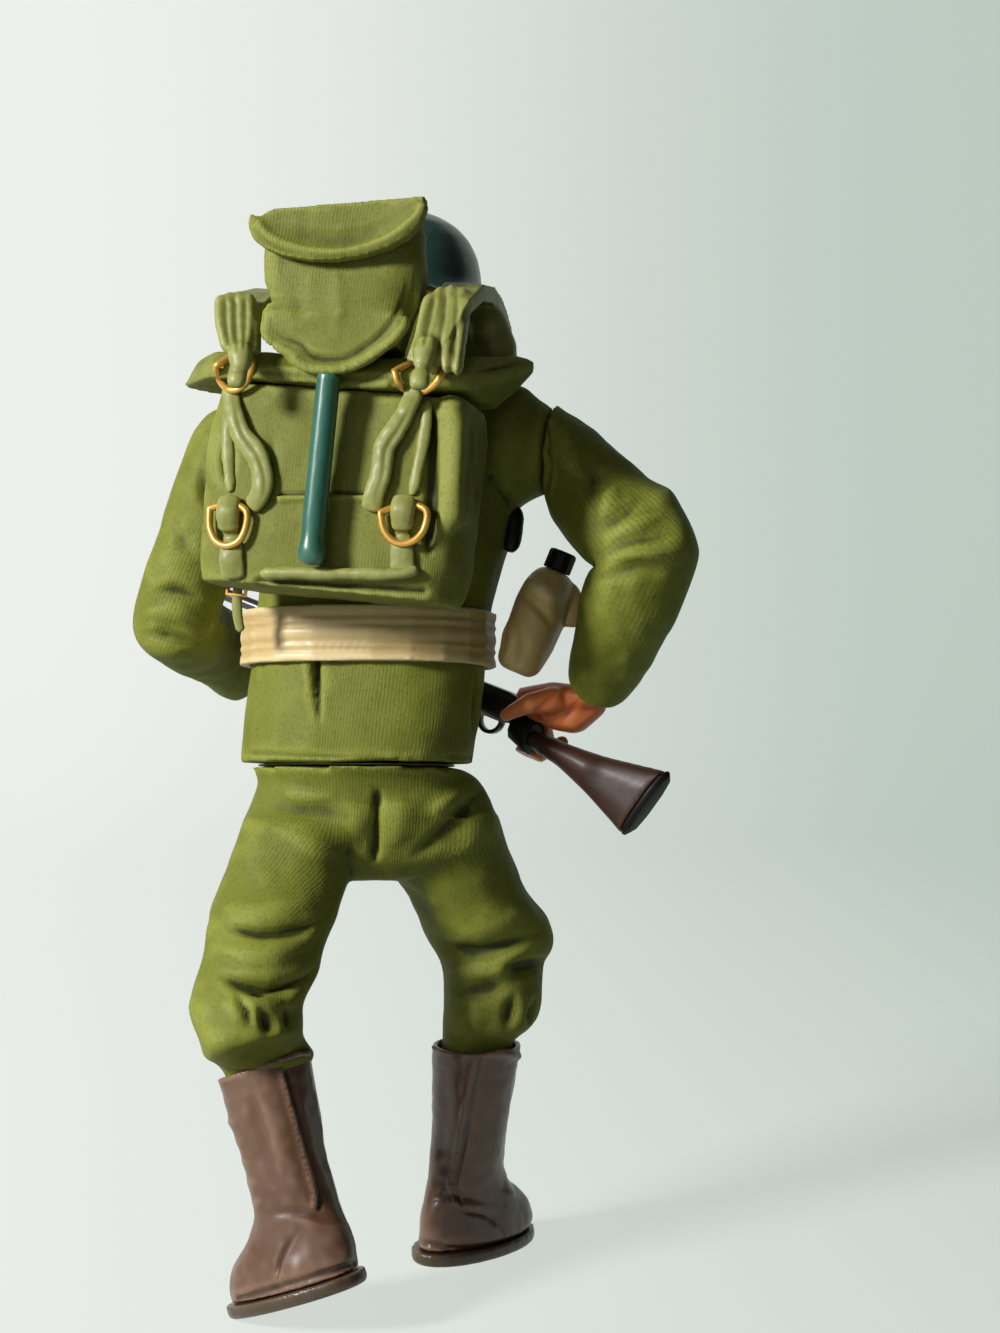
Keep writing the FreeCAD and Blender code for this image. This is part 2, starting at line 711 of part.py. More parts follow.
def make_head():
    centre = Vector(mm("helmet_across"), -mm("helmet_forward"), head_base())
    skull = skin(
        [
            outline(
                centre + Z_AXIS * (height * mm("head_height")) - Y_AXIS * (lead * mm("head_half_depth")),
                wide * mm("head_half_width"),
                deep * mm("head_half_depth"),
                HEAD_SIDES,
            )
            for height, wide, deep, lead in HEAD_SHARES
        ]
    )
    low, high, half = NOSE_SHARES
    face = centre - Y_AXIS * (0.9 * mm("head_half_depth"))
    side = X_AXIS * (half * mm("head_half_width"))
    tip = face - Y_AXIS * mm("nose_reach") + Z_AXIS * (low * mm("head_height"))
    bridge = face + Z_AXIS * (high * mm("head_height"))
    foot = face + Z_AXIS * (low * mm("head_height"))
    nose = skin(
        [
            [foot - side, foot + side, tip],
            [bridge - side * half, bridge + side * half, bridge - Y_AXIS * (half * mm("nose_reach"))],
        ]
    )
    stem_base = neck_point + Z_AXIS * mm("seat_gap")
    stem_top = stem_base + Z_AXIS * (head_base() + 0.3 * mm("head_height") - stem_base.z)
    stem = skin([outline(end, mm("neck_radius"), mm("neck_radius"), HEAD_SIDES) for end in (stem_base, stem_top)])
    peg = pin(mm("neck_peg_radius"), stem_base - Z_AXIS * mm("neck_peg_length"), Z_AXIS, mm("neck_peg_length"))
    return skull.fuse([nose, stem, peg])


feature("head", make_head(), torso)

# Helmet: a shell with a flared rim; rows are shares of the dome radius and of the height.
HELMET_SIDES = 36
HELMET_SHARES = ((1.0, 0.17), (0.975, 0.34), (0.91, 0.52), (0.79, 0.70), (0.62, 0.84), (0.40, 0.94), (0.14, 1.0))


def helmet_rings(inset):
    """Rings from the rim up; the inner set is drawn in by the wall."""
    radii = [(mm("helmet_rim_radius"), 0)] + [(wide * mm("helmet_radius"), rise) for wide, rise in HELMET_SHARES]
    rings = []
    for radius, rise in radii:
        height = rise * (mm("helmet_height") - inset)
        ring_radius = max(radius - inset, radius / 2)
        rings.append(outline(Z_AXIS * height, ring_radius, ring_radius, HELMET_SIDES))
    return rings


def make_helmet():
    inner = helmet_rings(mm("helmet_wall"))
    below = [point - Z_AXIS * mm("helmet_wall") for point in inner[0]]
    return skin(helmet_rings(0)).cut(skin([below] + inner))


helmet_seat = Vector(mm("helmet_across"), -mm("helmet_forward"), mm("helmet_top") - mm("helmet_height"))
feature("helmet", make_helmet(), torso * Placement(helmet_seat, Rotation(X_AXIS, -mm("helmet_tilt"))))

# Pack body: a bulging box with rounded upright corners, on a peg in the jacket's back.
PACK_BULGE_SHARES = ((0.0, 0.93), (0.12, 0.985), (0.5, 1.0), (0.85, 0.985), (1.0, 0.95))
PACK_SIDES = 20
PACK_ROUND_SHARE = 0.42


def make_pack():
    half_depth = (mm("pack_back") - mm("pack_front")) / 2
    middle = mm("pack_front") + half_depth
    body = skin(
        [
            outline(
                Vector(0, middle, mm("pack_bottom") + share * mm("pack_height")),
                bulge * mm("pack_half_width"),
                bulge * half_depth,
                PACK_SIDES,
                round_share=PACK_ROUND_SHARE,
            )
            for share, bulge in PACK_BULGE_SHARES
        ]
    )
    return body.cut(pack_peg_room())


feature("pack_body", make_pack(), torso)

pack_peg = doc.addObject("Part::Box", "pack_peg")
pack_peg.Label = "pack_peg"
pack_peg.setExpression("Length", "sizes.pack_peg_side * 1mm")
pack_peg.setExpression("Width", "sizes.pack_peg_bite * 2mm")
pack_peg.setExpression("Height", "sizes.pack_peg_side * 1mm")
pack_peg.Placement = torso * Placement(
    Vector(-mm("pack_peg_side") / 2, mm("pack_front") - mm("pack_peg_bite"), mm("pack_peg_height") - mm("pack_peg_side") / 2),
    Rotation(),
)
nodes.append(pack_peg)

# Pack lid: sections across the pack, from one drooping wing tip to the other.
# Each row: share of the half span, near and far edge between jacket and pack back, low and high in lid thicknesses.
LID_SHARES = (
    (-0.89, 0.16, 0.26, 1.25, 1.60),
    (-0.80, 0.06, 0.52, 0.80, 1.65),
    (-0.68, 0.00, 0.86, 0.24, 1.40),
    (-0.40, 0.00, 1.00, 0.04, 1.10),
    (0.00, 0.00, 1.00, 0.00, 1.00),
    (0.40, 0.00, 1.00, 0.00, 1.02),
    (0.72, 0.00, 0.86, 0.02, 1.05),
    (0.88, 0.06, 0.52, 0.06, 0.98),
    (1.00, 0.16, 0.26, 0.10, 0.45),
)


def lid_base():
    return mm("pack_bottom") + mm("pack_height") + mm("skin_gap")


def make_lid():
    sections = []
    reach = mm("pack_back") + mm("lid_overhang") - mm("pack_front")
    for across, near, far, low, high in LID_SHARES:
        x = across * mm("lid_half_span")
        front = mm("pack_front") + near * reach
        back = mm("pack_front") + far * reach
        bottom = lid_base() + low * mm("lid_thickness")
        top = lid_base() + high * mm("lid_thickness")
        rim = (top - bottom) / 3
        sections.append(
            [
                Vector(x, front, bottom),
                Vector(x, back, bottom),
                Vector(x, back + rim / 3, bottom + rim),
                Vector(x, back - rim, top - rim / 2),
                Vector(x, (front + back) / 2, top),
                Vector(x, front, top - rim / 2),
            ]
        )
    return skin(sections)


feature("pack_lid", make_lid(), torso)

# Spade cover: a box above the lid with a wavy tail that hangs over the lid's edge.
TAIL_SHARES = (
    (0.89, 0.90), (0.88, 0.20), (0.80, -0.16), (0.62, -0.40), (0.46, -0.84), (0.24, -1.00),
    (-0.06, -1.00), (-0.34, -0.74), (-0.58, -0.28), (-0.76, 0.10), (-0.86, 0.50), (-0.87, 0.90),
)
POUCH_RISE_SHARES = ((0.0, 0.88), (0.3, 0.97), (0.6, 1.0), (1.2, 0.98))
POUCH_SIDES = 18
POUCH_ROUND_SHARE = 0.62


def pouch_base():
    return lid_base() + 1.12 * mm("lid_thickness") + mm("skin_gap")


def above_flap():
    """The space above the plane that the flap lies on, in the spade cover's frame."""
    reach = 2 * mm("pouch_back")
    space = Part.makeBox(2 * reach, 2 * reach, reach, Vector(-reach, -reach, -mm("skin_gap")))
    top = pouch_base() + mm("pouch_height") + mm("skin_gap")
    space.Placement = Placement(
        Vector(mm("flap_across") - mm("pouch_across"), 0, top), Rotation(0, mm("flap_tilt"), 0)
    )
    return space


def make_pouch():
    half_depth = (mm("pouch_back") - mm("pouch_front")) / 2
    middle = mm("pouch_front") + half_depth
    box = skin(
        [
            egg(
                Vector(0, middle, pouch_base() + share * mm("pouch_height")),
                half_depth,
                half_depth * wide,
                wide * mm("pouch_half_width"),
                wide * mm("pouch_near_half_width"),
                POUCH_SIDES,
                POUCH_ROUND_SHARE,
            )
            for share, wide in POUCH_RISE_SHARES
        ]
    )
    tail_face = mm("pouch_back") - mm("pouch_tail_thickness")
    points = [
        Vector(share * mm("pouch_half_width"), tail_face, pouch_base() + drop * mm("pouch_tail"))
        for share, drop in TAIL_SHARES
    ]
    cover = box.fuse(plate(points, Y_AXIS * mm("pouch_tail_thickness")))
    return cover.cut(above_flap())


pouch_middle = Placement(Vector(mm("pouch_across"), 0, 0), Rotation())
feature("pouch", make_pouch(), torso * pouch_middle)

# Flap: a plate over the cover with a deep curved front edge.
FLAP_ARC_STEPS = 10


def make_flap():
    """A roof that narrows toward the neck, and a crescent that hangs over the cover's far face."""
    half = mm("flap_half_width")
    face = mm("pouch_back") + mm("seat_gap")
    drop = mm("flap_drop") - mm("flap_thickness")
    points = [
        Vector(half * math.cos(math.pi * i / FLAP_ARC_STEPS), face, -drop * math.sin(math.pi * i / FLAP_ARC_STEPS))
        for i in range(FLAP_ARC_STEPS + 1)
    ]
    crown = Z_AXIS * mm("flap_thickness")
    crescent = plate(points + [points[-1] + crown, points[0] + crown], Y_AXIS * mm("flap_thickness"))
    near_half = mm("pouch_near_half_width")
    far = face + mm("flap_thickness")
    roof = plate(
        [
            Vector(-half, far, 0),
            Vector(half, far, 0),
            Vector(near_half, mm("pouch_front"), 0),
            Vector(-near_half, mm("pouch_front"), 0),
        ],
        crown,
    )
    return crescent.fuse(roof)


flap_place = Placement(
    Vector(mm("flap_across"), 0, pouch_base() + mm("pouch_height") + mm("skin_gap")), Rotation(0, mm("flap_tilt"), 0)
)
feature("pouch_flap", make_flap(), torso * flap_place)

# Shovel handle with a rounded knob, its lower end leaning in to the pack.
HANDLE_SIDES = 20
HANDLE_SHARES = ((0.90, 0.0), (0.94, 0.86), (1.12, 0.90), (1.14, 0.95), (0.98, 0.985), (0.60, 1.0))
handle_top = Vector(0, mm("pouch_back") - mm("handle_radius") / 2, pouch_base() - mm("pouch_tail") - mm("skin_gap"))


def make_handle():
    knob_rest = mm("pack_back") + mm("seat_gap") + 1.14 * mm("handle_radius")
    lean = (knob_rest - handle_top.y) / mm("handle_length")
    return skin(
        [
            outline(
                Vector(0, lean * down * mm("handle_length"), -down * mm("handle_length")),
                wide * mm("handle_radius"),
                wide * mm("handle_radius"),
                HANDLE_SIDES,
            )
            for wide, down in HANDLE_SHARES
        ]
    )


feature("shovel_handle", make_handle(), torso * Placement(handle_top, Rotation()))

# Straps on the pack, one set on each side; left is +X.
# A shoulder strap's route: across in buckle distances, back in pack depths behind the pack's
# near face, height above the upper buckle in buckle heights, then its width.
SHOULDER_ROUTE_SHARES = {
    1: (
        (1.00, 1.20, 0.34, 0.62), (1.08, 1.16, 0.95, 0.72), (1.15, 1.00, 1.50, 0.80), (1.19, 0.70, 1.95, 0.80),
        (1.20, 0.34, 2.28, 0.80), (1.18, -0.08, 2.46, 0.80), (1.14, -0.50, 2.50, 0.78), (1.10, -0.90, 2.40, 0.74),
        (1.05, -1.22, 2.10, 0.70), (1.00, -1.42, 1.70, 0.66),
    ),
    -1: (
        (1.00, 1.20, 0.34, 0.62), (1.10, 1.16, 1.10, 0.74), (1.18, 1.02, 1.95, 0.86), (1.21, 0.74, 2.44, 0.88),
        (1.20, 0.36, 2.64, 0.86), (1.16, -0.08, 2.66, 0.82), (1.10, -0.50, 2.62, 0.78), (1.05, -0.90, 2.48, 0.74),
        (1.02, -1.22, 2.14, 0.70), (1.00, -1.42, 1.70, 0.66),
    ),
}
CHEST_ROUTE_SHARES = ((0.99, 0.800, 0.62), (0.96, 0.730, 0.56), (0.94, 0.62, 0.52), (0.93, 0.48, 0.50), (0.95, 0.40, 0.50))
TAIL_ROUTE_SHARES = {
    1: ((1.00, 1.02), (1.00, 0.92), (0.97, 0.80), (0.86, 0.64), (0.74, 0.53), (0.60, 0.36), (0.59, 0.22), (0.57, 0.13)),
    -1: ((1.00, 1.02), (0.98, 0.92), (0.92, 0.80), (0.76, 0.64), (0.63, 0.50), (0.58, 0.32), (0.50, 0.14), (0.52, 0.05)),
}
TAIL_OUT_SHARES = (3.0, 2.6, 1.1, 0.9, 1.3, 0.7, 1.2, 0.6)
BUCKLE_ARC_STEPS = 8


def jacket_front(x, z):
    """How far in front of its middle the jacket's surface is at a place on the chest."""
    height = (z + mm("hem_drop")) / mm("jacket_height")
    for low, high in zip(JACKET_SHARES[:-1], JACKET_SHARES[1:]):
        if low[0] <= height <= high[0]:
            break
    mix = (height - low[0]) / (high[0] - low[0])
    width, depth, lead = [low[k] + (high[k] - low[k]) * mix for k in (1, 2, 3)]
    share = min(abs(x) / (width * mm("jacket_half_width")), 1)
    bow = (1 - share ** (2 / JACKET_ROUND_SHARE)) ** (JACKET_ROUND_SHARE / 2)
    return (lead + depth * bow) * mm("jacket_half_depth")


def strap_face():
    """Where straps lie on the pack's far face."""
    return mm("pack_back") + mm("skin_gap") + mm("strap_thickness") / 2


def make_shoulder_strap(side):
    """From the upper buckle over the shoulder and down the chest to the belt."""
    points = []
    widths = []
    depth = mm("pack_back") - mm("pack_front")
    for across, back, rise, wide in SHOULDER_ROUTE_SHARES[side]:
        points.append(
            Vector(
                side * across * mm("buckle_across"),
                mm("pack_front") + back * depth,
                mm("upper_buckle_height") + rise * mm("buckle_height"),
            )
        )
        widths.append(wide * mm("bundle_width"))
    for across, height, wide in CHEST_ROUTE_SHARES:
        x = side * across * mm("buckle_across")
        z = height * mm("jacket_height") - mm("hem_drop")
        points.append(Vector(x, -jacket_front(x, z) - mm("skin_gap") - mm("bundle_thickness") / 4, z))
        widths.append(wide * mm("bundle_width"))
    strap = bar(points, widths, mm("bundle_thickness"), Y_AXIS, X_AXIS)
    return largest(strap.cut(jacket_skin(mm("skin_gap"))))


def make_buckle():
    """A D-shaped frame, round end down, lying in the XZ plane."""
    frames = []
    for inset in (0, mm("buckle_bar")):
        half = mm("buckle_width") / 2 - inset
        low = mm("buckle_height") / 2 - half - inset
        points = [
            Vector(half * math.cos(math.pi * i / BUCKLE_ARC_STEPS), 0, -low - half * math.sin(math.pi * i / BUCKLE_ARC_STEPS))
            for i in range(BUCKLE_ARC_STEPS + 1)
        ]
        top = mm("buckle_height") / 2 - inset
        points += [Vector(-half, 0, top), Vector(half, 0, top)]
        frames.append(plate(points, Y_AXIS * mm("buckle_thickness")))
    return frames[0].cut(frames[1])


def make_tail(side):
    run = mm("upper_buckle_height") - mm("lower_buckle_height")
    points = [
        Vector(
            side * across * mm("buckle_across"),
            strap_face() + out * mm("strap_thickness"),
            mm("lower_buckle_height") + rise * run,
        )
        for (across, rise), out in zip(TAIL_ROUTE_SHARES[side], TAIL_OUT_SHARES)
    ]
    return bar(points, [mm("strap_width")] * len(points), mm("strap_thickness"), Y_AXIS)


def make_lower_strap(side):
    face = strap_face()
    x = side * mm("buckle_across") * 0.94
    points = [
        Vector(x, face, mm("lower_buckle_height") + 0.8 * mm("buckle_height")),
        Vector(x, face + mm("strap_thickness") / 2, mm("lower_buckle_height")),
        Vector(x, face, mm("pack_bottom") + mm("strap_width")),
    ]
    return bar(points, [1.15 * mm("strap_width")] * len(points), mm("strap_thickness"), Y_AXIS)


for side, word in ((1, "left"), (-1, "right")):
    feature(word + "_shoulder_strap", make_shoulder_strap(side), torso)
    feature(word + "_strap_tail", make_tail(side), torso)
    feature(word + "_lower_strap", make_lower_strap(side), torso)
    upper = Vector(
        side * mm("buckle_across"),
        mm("pack_back") + 1.5 * mm("lid_overhang") + mm("bundle_thickness"),
        mm("upper_buckle_height"),
    )
    feature(word + "_upper_buckle", make_buckle(), torso * Placement(upper, Rotation()))
    lower = Vector(
        side * mm("buckle_across") * 0.94,
        strap_face() + mm("strap_thickness") + mm("skin_gap"),
        mm("lower_buckle_height"),
    )
    feature(word + "_lower_buckle", make_buckle(), torso * Placement(lower, Rotation()))

# Piping along the pack's bottom edge, turning the corner on the right.
PIPING_START_SHARE = 0.45


def make_piping():
    half_depth = (mm("pack_back") - mm("pack_front")) / 2
    middle = mm("pack_front") + half_depth
    lift = mm("skin_gap") + mm("piping_width") / 2
    height = mm("pack_bottom") + 1.4 * mm("piping_width")
    track = outline(
        Vector(0, middle, height),
        mm("pack_half_width") + lift,
        half_depth + lift,
        PACK_SIDES,
        round_share=PACK_ROUND_SHARE,
    )
    start = PIPING_START_SHARE * mm("pack_half_width")
    route = sorted((p for p in track if p.y > middle and p.x < start), key=lambda p: (-p.x, -p.y))
    route.insert(0, Vector(start, route[0].y, height))
    return bar(route, [mm("piping_width")] * len(route), mm("piping_width"), Z_AXIS)


feature("pack_piping", make_piping(), torso)

# Strap on the left hip, from under the pack down to the belt, with a small buckle on it.
HIP_ROUTE_SHARES = ((0.52, 0.0), (0.52, 0.18), (0.34, 0.50), (0.08, 0.78), (-0.01, 1.0))


def hip_route():
    depth = mm("pack_back") - mm("pack_front")
    top = mm("pack_bottom") - mm("seat_gap")
    return [
        Vector(mm("hip_strap_across"), mm("pack_front") + back * depth, top - fall * mm("hip_strap_length"))
        for back, fall in HIP_ROUTE_SHARES
    ]


def make_hip_strap():
    points = hip_route()
    return bar(points, [mm("hip_strap_width")] * len(points), mm("strap_thickness"), Y_AXIS)


def make_hip_buckle():
    half = mm("hip_buckle_size") / 2
    frames = []
    for inset in (0, mm("hip_buckle_bar")):
        side, tall = half - inset, 0.75 * half - inset
        corners = ((-side, -tall), (side, -tall), (side, tall), (-side, tall))
        points = [Vector(across, 0, rise) for across, rise in corners]
        frames.append(plate(points, Y_AXIS * mm("buckle_thickness")))
    return frames[0].cut(frames[1])


feature("hip_strap", make_hip_strap(), torso)
hip_seat = hip_route()[1] + Vector(0, mm("strap_thickness") / 2 + mm("skin_gap"), 0)
feature("hip_buckle", make_hip_buckle(), torso * Placement(hip_seat, Rotation()))

# Canteen in its cover on the right hip, with a screw cap.
CANTEEN_SHARES = (
    (0.00, 0.55, 0.55), (0.06, 0.80, 0.80), (0.30, 0.98, 0.96), (0.62, 1.00, 1.00),
    (0.82, 0.92, 0.95), (0.94, 0.66, 0.78), (1.00, 0.46, 0.55),
)
canteen = torso * Placement(
    Vector(-mm("canteen_across"), mm("canteen_back"), mm("canteen_bottom")), Rotation(0, -mm("canteen_tilt"), 0)
)


LOBE_SHARES = ((0.20, 0.86, 0.80), (0.62, 0.85, 1.00), (0.98, 0.76, 1.00), (1.18, 0.66, 0.86), (1.28, 0.58, 0.50))
LOBE_SIDES = 10


def make_lobe():
    """The cover's flap, folded over its outer shoulder; rows are out, up and how thick."""
    stations = []
    for out, rise, thick in LOBE_SHARES:
        point = Vector(-out * mm("canteen_half_depth"), -mm("lobe_radius"), rise * mm("canteen_height"))
        stations.append((point, 1.2 * thick * mm("lobe_radius"), thick * mm("lobe_radius")))
    return limb(stations, LOBE_SIDES)


def make_canteen():
    body = skin(
        [
            outline(
                Vector(0, 0, share * mm("canteen_height")),
                deep * mm("canteen_half_depth"),
                wide * mm("canteen_half_width"),
                14,
                round_share=0.9,
            )
            for share, wide, deep in CANTEEN_SHARES
        ]
    )
    return body.fuse(make_lobe())


feature("canteen_cover", make_canteen(), canteen)

# Screw cap of the canteen.
CAP_SIDES = 24
CAP_GROOVE_SHARE = 0.93


def make_cap():
    """A screw cap with an upright groove at every second point."""
    rings = []
    for height in (0, 0.9 * mm("cap_height"), mm("cap_height")):
        wide = mm("cap_radius") * (0.85 if height == mm("cap_height") else 1)
        ring = outline(Z_AXIS * height, wide, wide, CAP_SIDES)
        for i in range(0, CAP_SIDES, 2):
            ring[i] = Z_AXIS * height + (ring[i] - Z_AXIS * height) * CAP_GROOVE_SHARE
        rings.append(ring)
    return skin(rings)


feature("canteen_cap", make_cap(), canteen * Placement(Z_AXIS * (mm("canteen_height") + mm("skin_gap")), Rotation()))

# Round case that hangs under the right arm.
CASE_SHARES = ((0.0, 0.45), (0.12, 0.85), (0.3, 1.0), (0.75, 1.0), (0.9, 0.8), (1.0, 0.4))


def make_case():
    length = mm("case_length")
    base = Vector(-0.982 * mm("jacket_half_width") - mm("case_radius"), 0, mm("case_height") - length / 2)
    return skin(
        [
            outline(base + Z_AXIS * (share * length), wide * mm("case_radius"), wide * mm("case_radius"), 12)
            for share, wide in CASE_SHARES
        ]
    )


feature("side_case", make_case(), torso)

# Sleeves: each row gives a place and two radii as shares.
SLEEVE_SIDES = 16
START_SHARE = 0.93


def sleeve_start(side):
    reach = mm("left_boss_reach") if side > 0 else mm("right_boss_reach")
    return axle_point + X_AXIS * (side * (reach + mm("seat_gap")))


# A sleeve's rows: along from shoulder (0) to elbow (1) and on to the cuff (2), then back and
# outward of that line in sleeve radii, then the radius there.
RIGHT_SLEEVE_SHARES = (
    (0.20, 0.00, 0.00, 0.96), (0.44, 0.22, 0.00, 0.93), (0.70, 0.62, 0.00, 0.96), (1.00, 0.88, 0.00, 1.02),
    (1.32, 0.52, 0.00, 0.94), (1.60, 0.00, 0.00, 0.84), (1.86, -0.52, 0.00, 0.72), (2.00, -0.78, 0.00, 0.60),
)
LEFT_SLEEVE_SHARES = (
    (0.10, 0.05, 0.62, 1.00), (0.34, 0.26, 0.40, 1.02), (0.58, 0.45, 0.20, 1.02), (0.80, 0.62, 0.05, 1.02),
    (1.00, 0.55, 0.00, 1.10), (1.32, 0.00, 0.00, 1.00), (1.60, 0.00, 0.00, 0.90), (1.88, 0.00, 0.00, 0.80),
    (2.00, 0.00, 0.00, 0.68),
)
LEFT_FOREARM_WAY = Vector(-0.20, -0.93, -0.22)


def sleeve_path(side, rows, radius, elbow, cuff):
    """Stations of a sleeve from its flat start on the boss to the cuff."""
    start = sleeve_start(side)
    stations = [(start, START_SHARE * radius, START_SHARE * radius)]
    for along, back, out, wide in rows:
        if along <= 1:
            point = start + (elbow - start) * along
        else:
            point = elbow + (cuff - elbow) * (along - 1)
        point = point + Y_AXIS * (back * radius) + X_AXIS * (side * out * radius)
        stations.append((point, wide * radius, wide * radius))
    return stations


def right_sleeve_path():
    elbow = Vector(-mm("right_reach"), 0, mm("shoulder_height") - mm("right_elbow_drop"))
    cuff = Vector(-mm("right_cuff_reach"), 0, mm("shoulder_height") - mm("right_cuff_drop"))
    return sleeve_path(-1, RIGHT_SLEEVE_SHARES, mm("sleeve_radius"), elbow, cuff)


def left_sleeve_path():
    elbow = Vector(mm("left_reach"), 0, mm("shoulder_height") - mm("left_elbow_drop"))
    cuff = elbow + LEFT_FOREARM_WAY * mm("left_forearm")
    return sleeve_path(1, LEFT_SLEEVE_SHARES, mm("left_sleeve_radius"), elbow, cuff)


def make_sleeve(stations, side):
    sleeve = limb(stations, SLEEVE_SIDES, X_AXIS * side)
    bore = pin(
        mm("axle_radius") + mm("pin_clearance"),
        stations[0][0] - X_AXIS * side,
        X_AXIS * side,
        mm("axle_bite") + mm("seat_gap"),
    )
    return sleeve.cut(bore)


right_stations = right_sleeve_path()
left_stations = left_sleeve_path()
feature("right_sleeve", make_sleeve(right_stations, -1), torso)
feature("left_sleeve", make_sleeve(left_stations, 1), torso)

axle = doc.addObject("Part::Cylinder", "shoulder_axle")
axle.Label = "shoulder_axle"
axle.setExpression("Radius", "sizes.axle_radius * 1mm")
axle.setExpression("Height", "(sizes.right_boss_reach + sizes.left_boss_reach + sizes.axle_bite) * 1mm")
axle.Placement = torso * Placement(
    axle_point - X_AXIS * (mm("right_boss_reach") + mm("axle_bite") / 2), Rotation(Y_AXIS, 90)
)
nodes.append(axle)

# Rifle: built with its bore line along +X and its top along +Z, origin at the grip.
rifle = torso * Placement(
    Vector(mm("grip_across"), -mm("grip_forward"), -mm("grip_drop")),
    Rotation(mm("rifle_swing"), -mm("rifle_rise"), 0),
)
STOCK_SHARES = ((0.00, 0.20, 1.02, 0.0), (0.24, 0.235, 0.92, 0.1), (0.55, 0.52, 0.96, 0.5), (1.00, 1.00, 1.00, 1.0))


def rifle_section(x, low, half_height, half_width, sides=10, rake=0.0):
    """A section across the rifle at x, tipped by the rake in degrees."""
    up = Rotation(Y_AXIS, rake).multVec(Z_AXIS)
    return outline(Vector(x, 0, -low), half_width, half_height, sides, Y_AXIS, up, 0.8)


def make_butt():
    start = -mm("collar_length") / 2 - mm("skin_gap")
    length = mm("butt_length") + start
    return skin(
        [
            rifle_section(
                start - share * length,
                mm("wrist_drop") + share * (mm("butt_drop") - mm("wrist_drop")),
                tall * mm("butt_height") / 2,
                wide * mm("butt_half_thickness"),
                rake=-rake * mm("butt_rake"),
            )
            for share, tall, wide, rake in STOCK_SHARES
        ]
    )


def make_butt_plate():
    x = -mm("butt_length") - mm("skin_gap")
    return skin(
        [
            rifle_section(
                x - step,
                mm("butt_drop"),
                mm("butt_height") / 2 * share,
                mm("butt_half_thickness") * share,
                rake=-mm("butt_rake"),
            )
            for step, share in ((0, 1.0), (mm("plate_thickness") / 2, 1.0), (mm("plate_thickness"), 0.86))
        ]
    )


def make_grip_collar():
    half = mm("collar_length") / 2
    rows = ((-half, mm("wrist_drop")), (half, 0.6 * mm("wrist_drop")))
    return skin([rifle_section(x, drop, mm("grip_radius") * 1.12, mm("grip_radius") * 1.12) for x, drop in rows])


def receiver_start():
    return mm("collar_length") / 2 + mm("skin_gap")


GUARD_SIDES = 18


def make_receiver():
    start = receiver_start()
    half = mm("receiver_height") / 2
    rows = ((0.0, 0.8), (0.16, 1.0), (0.84, 1.0), (1.0, 0.86))
    block = skin(
        [rifle_section(start + share * mm("receiver_length"), 0, tall * half, mm("receiver_half_width"), 8) for share, tall in rows]
    )
    guard_centre = Vector(start + 0.3 * mm("receiver_length"), 0, -half)
    strip = Y_AXIS * mm("guard_wire")
    rings = []
    for radius in (mm("guard_radius"), mm("guard_radius") - mm("guard_wire")):
        circle = outline(guard_centre, radius, radius, GUARD_SIDES, X_AXIS, Z_AXIS)
        rings.append(plate([point - strip for point in circle], strip * 2))
    return block.fuse(rings[0].cut(rings[1]))


def make_forend():
    start = receiver_start() + mm("receiver_length") + mm("skin_gap")
    rows = ((0.0, 1.05), (0.15, 1.12), (0.8, 1.0), (0.96, 0.92), (1.0, 0.8))
    wood = skin(
        [
            rifle_section(
                start + share * mm("forend_length"), 0.25 * mm("forend_radius"), wide * mm("forend_radius"), wide * mm("forend_radius")
            )
            for share, wide in rows
        ]
    )
    return wood


BARREL_SIDES = 16
BARREL_SHARES = ((0.0, 1.25), (0.12, 1.2), (0.16, 1.0), (0.93, 1.0), (0.94, 1.2), (1.0, 1.2))


def make_barrel():
    """A stepped barrel with an open muzzle and a blade sight."""
    start = receiver_start() + mm("receiver_length") + 2 * mm("skin_gap") + mm("forend_length")
    length = mm("barrel_length")
    radius = mm("barrel_radius")

    def ring(x, wide):
        return outline(X_AXIS * x, wide * radius, wide * radius, BARREL_SIDES, Y_AXIS, Z_AXIS)

    tube = skin([ring(start + share * length, wide) for share, wide in BARREL_SHARES])
    bore = skin([ring(start + share * length, 0.6) for share in (0.8, 1.1)])
    blade = Part.makeBox(
        mm("sight_height"),
        radius / 2,
        radius + mm("sight_height"),
        Vector(start + 0.86 * length, -radius / 4, 0),
    )
    return tube.fuse(blade).cut(bore)


feature("rifle_butt", make_butt(), rifle)
feature("butt_plate", make_butt_plate(), rifle)
feature("grip_collar", make_grip_collar(), rifle)
feature("rifle_receiver", make_receiver(), rifle)
feature("rifle_forend", make_forend(), rifle)
feature("rifle_barrel", make_barrel(), rifle)

# Hands: a palm from the cuff and fingers that fold round the rifle, with the rifle's room cut out.
to_torso = torso.inverse() * rifle
rifle_way = to_torso.Rotation


def rifle_point(x, y, z):
    return to_torso.multVec(Vector(x, y, z))


def make_hand(stations, knuckles, finger_ends, room):
    """A palm from the cuff to the knuckles and folded fingers, cut clear of the rifle."""
    cuff = stations[-1][0]
    mouth = (cuff - stations[-2][0]).normalize()
    half_width = mm("palm_half_width")
    half_depth = mm("palm_half_depth")
    wrist = cuff + mouth * mm("seat_gap")
    middle = wrist + (knuckles - wrist) * 0.5
    rows = [(wrist, half_depth, half_depth), (middle, half_depth, half_width), (knuckles, half_depth, half_width)]
    rows += [(end, half_depth * 0.7, half_width * 0.9) for end in finger_ends]
    return limb(rows, 10, first_tangent=mouth, first_across=rifle_way.multVec(X_AXIS)).cut(room)


def rifle_room(rows):
    """Room round the rifle through (x, drop, half height, half width) rows, grown by a gap."""
    grow = mm("skin_gap")
    room = skin([rifle_section(x, drop, tall + grow, wide + grow) for x, drop, tall, wide in rows])
    room.Placement = to_torso
    return room


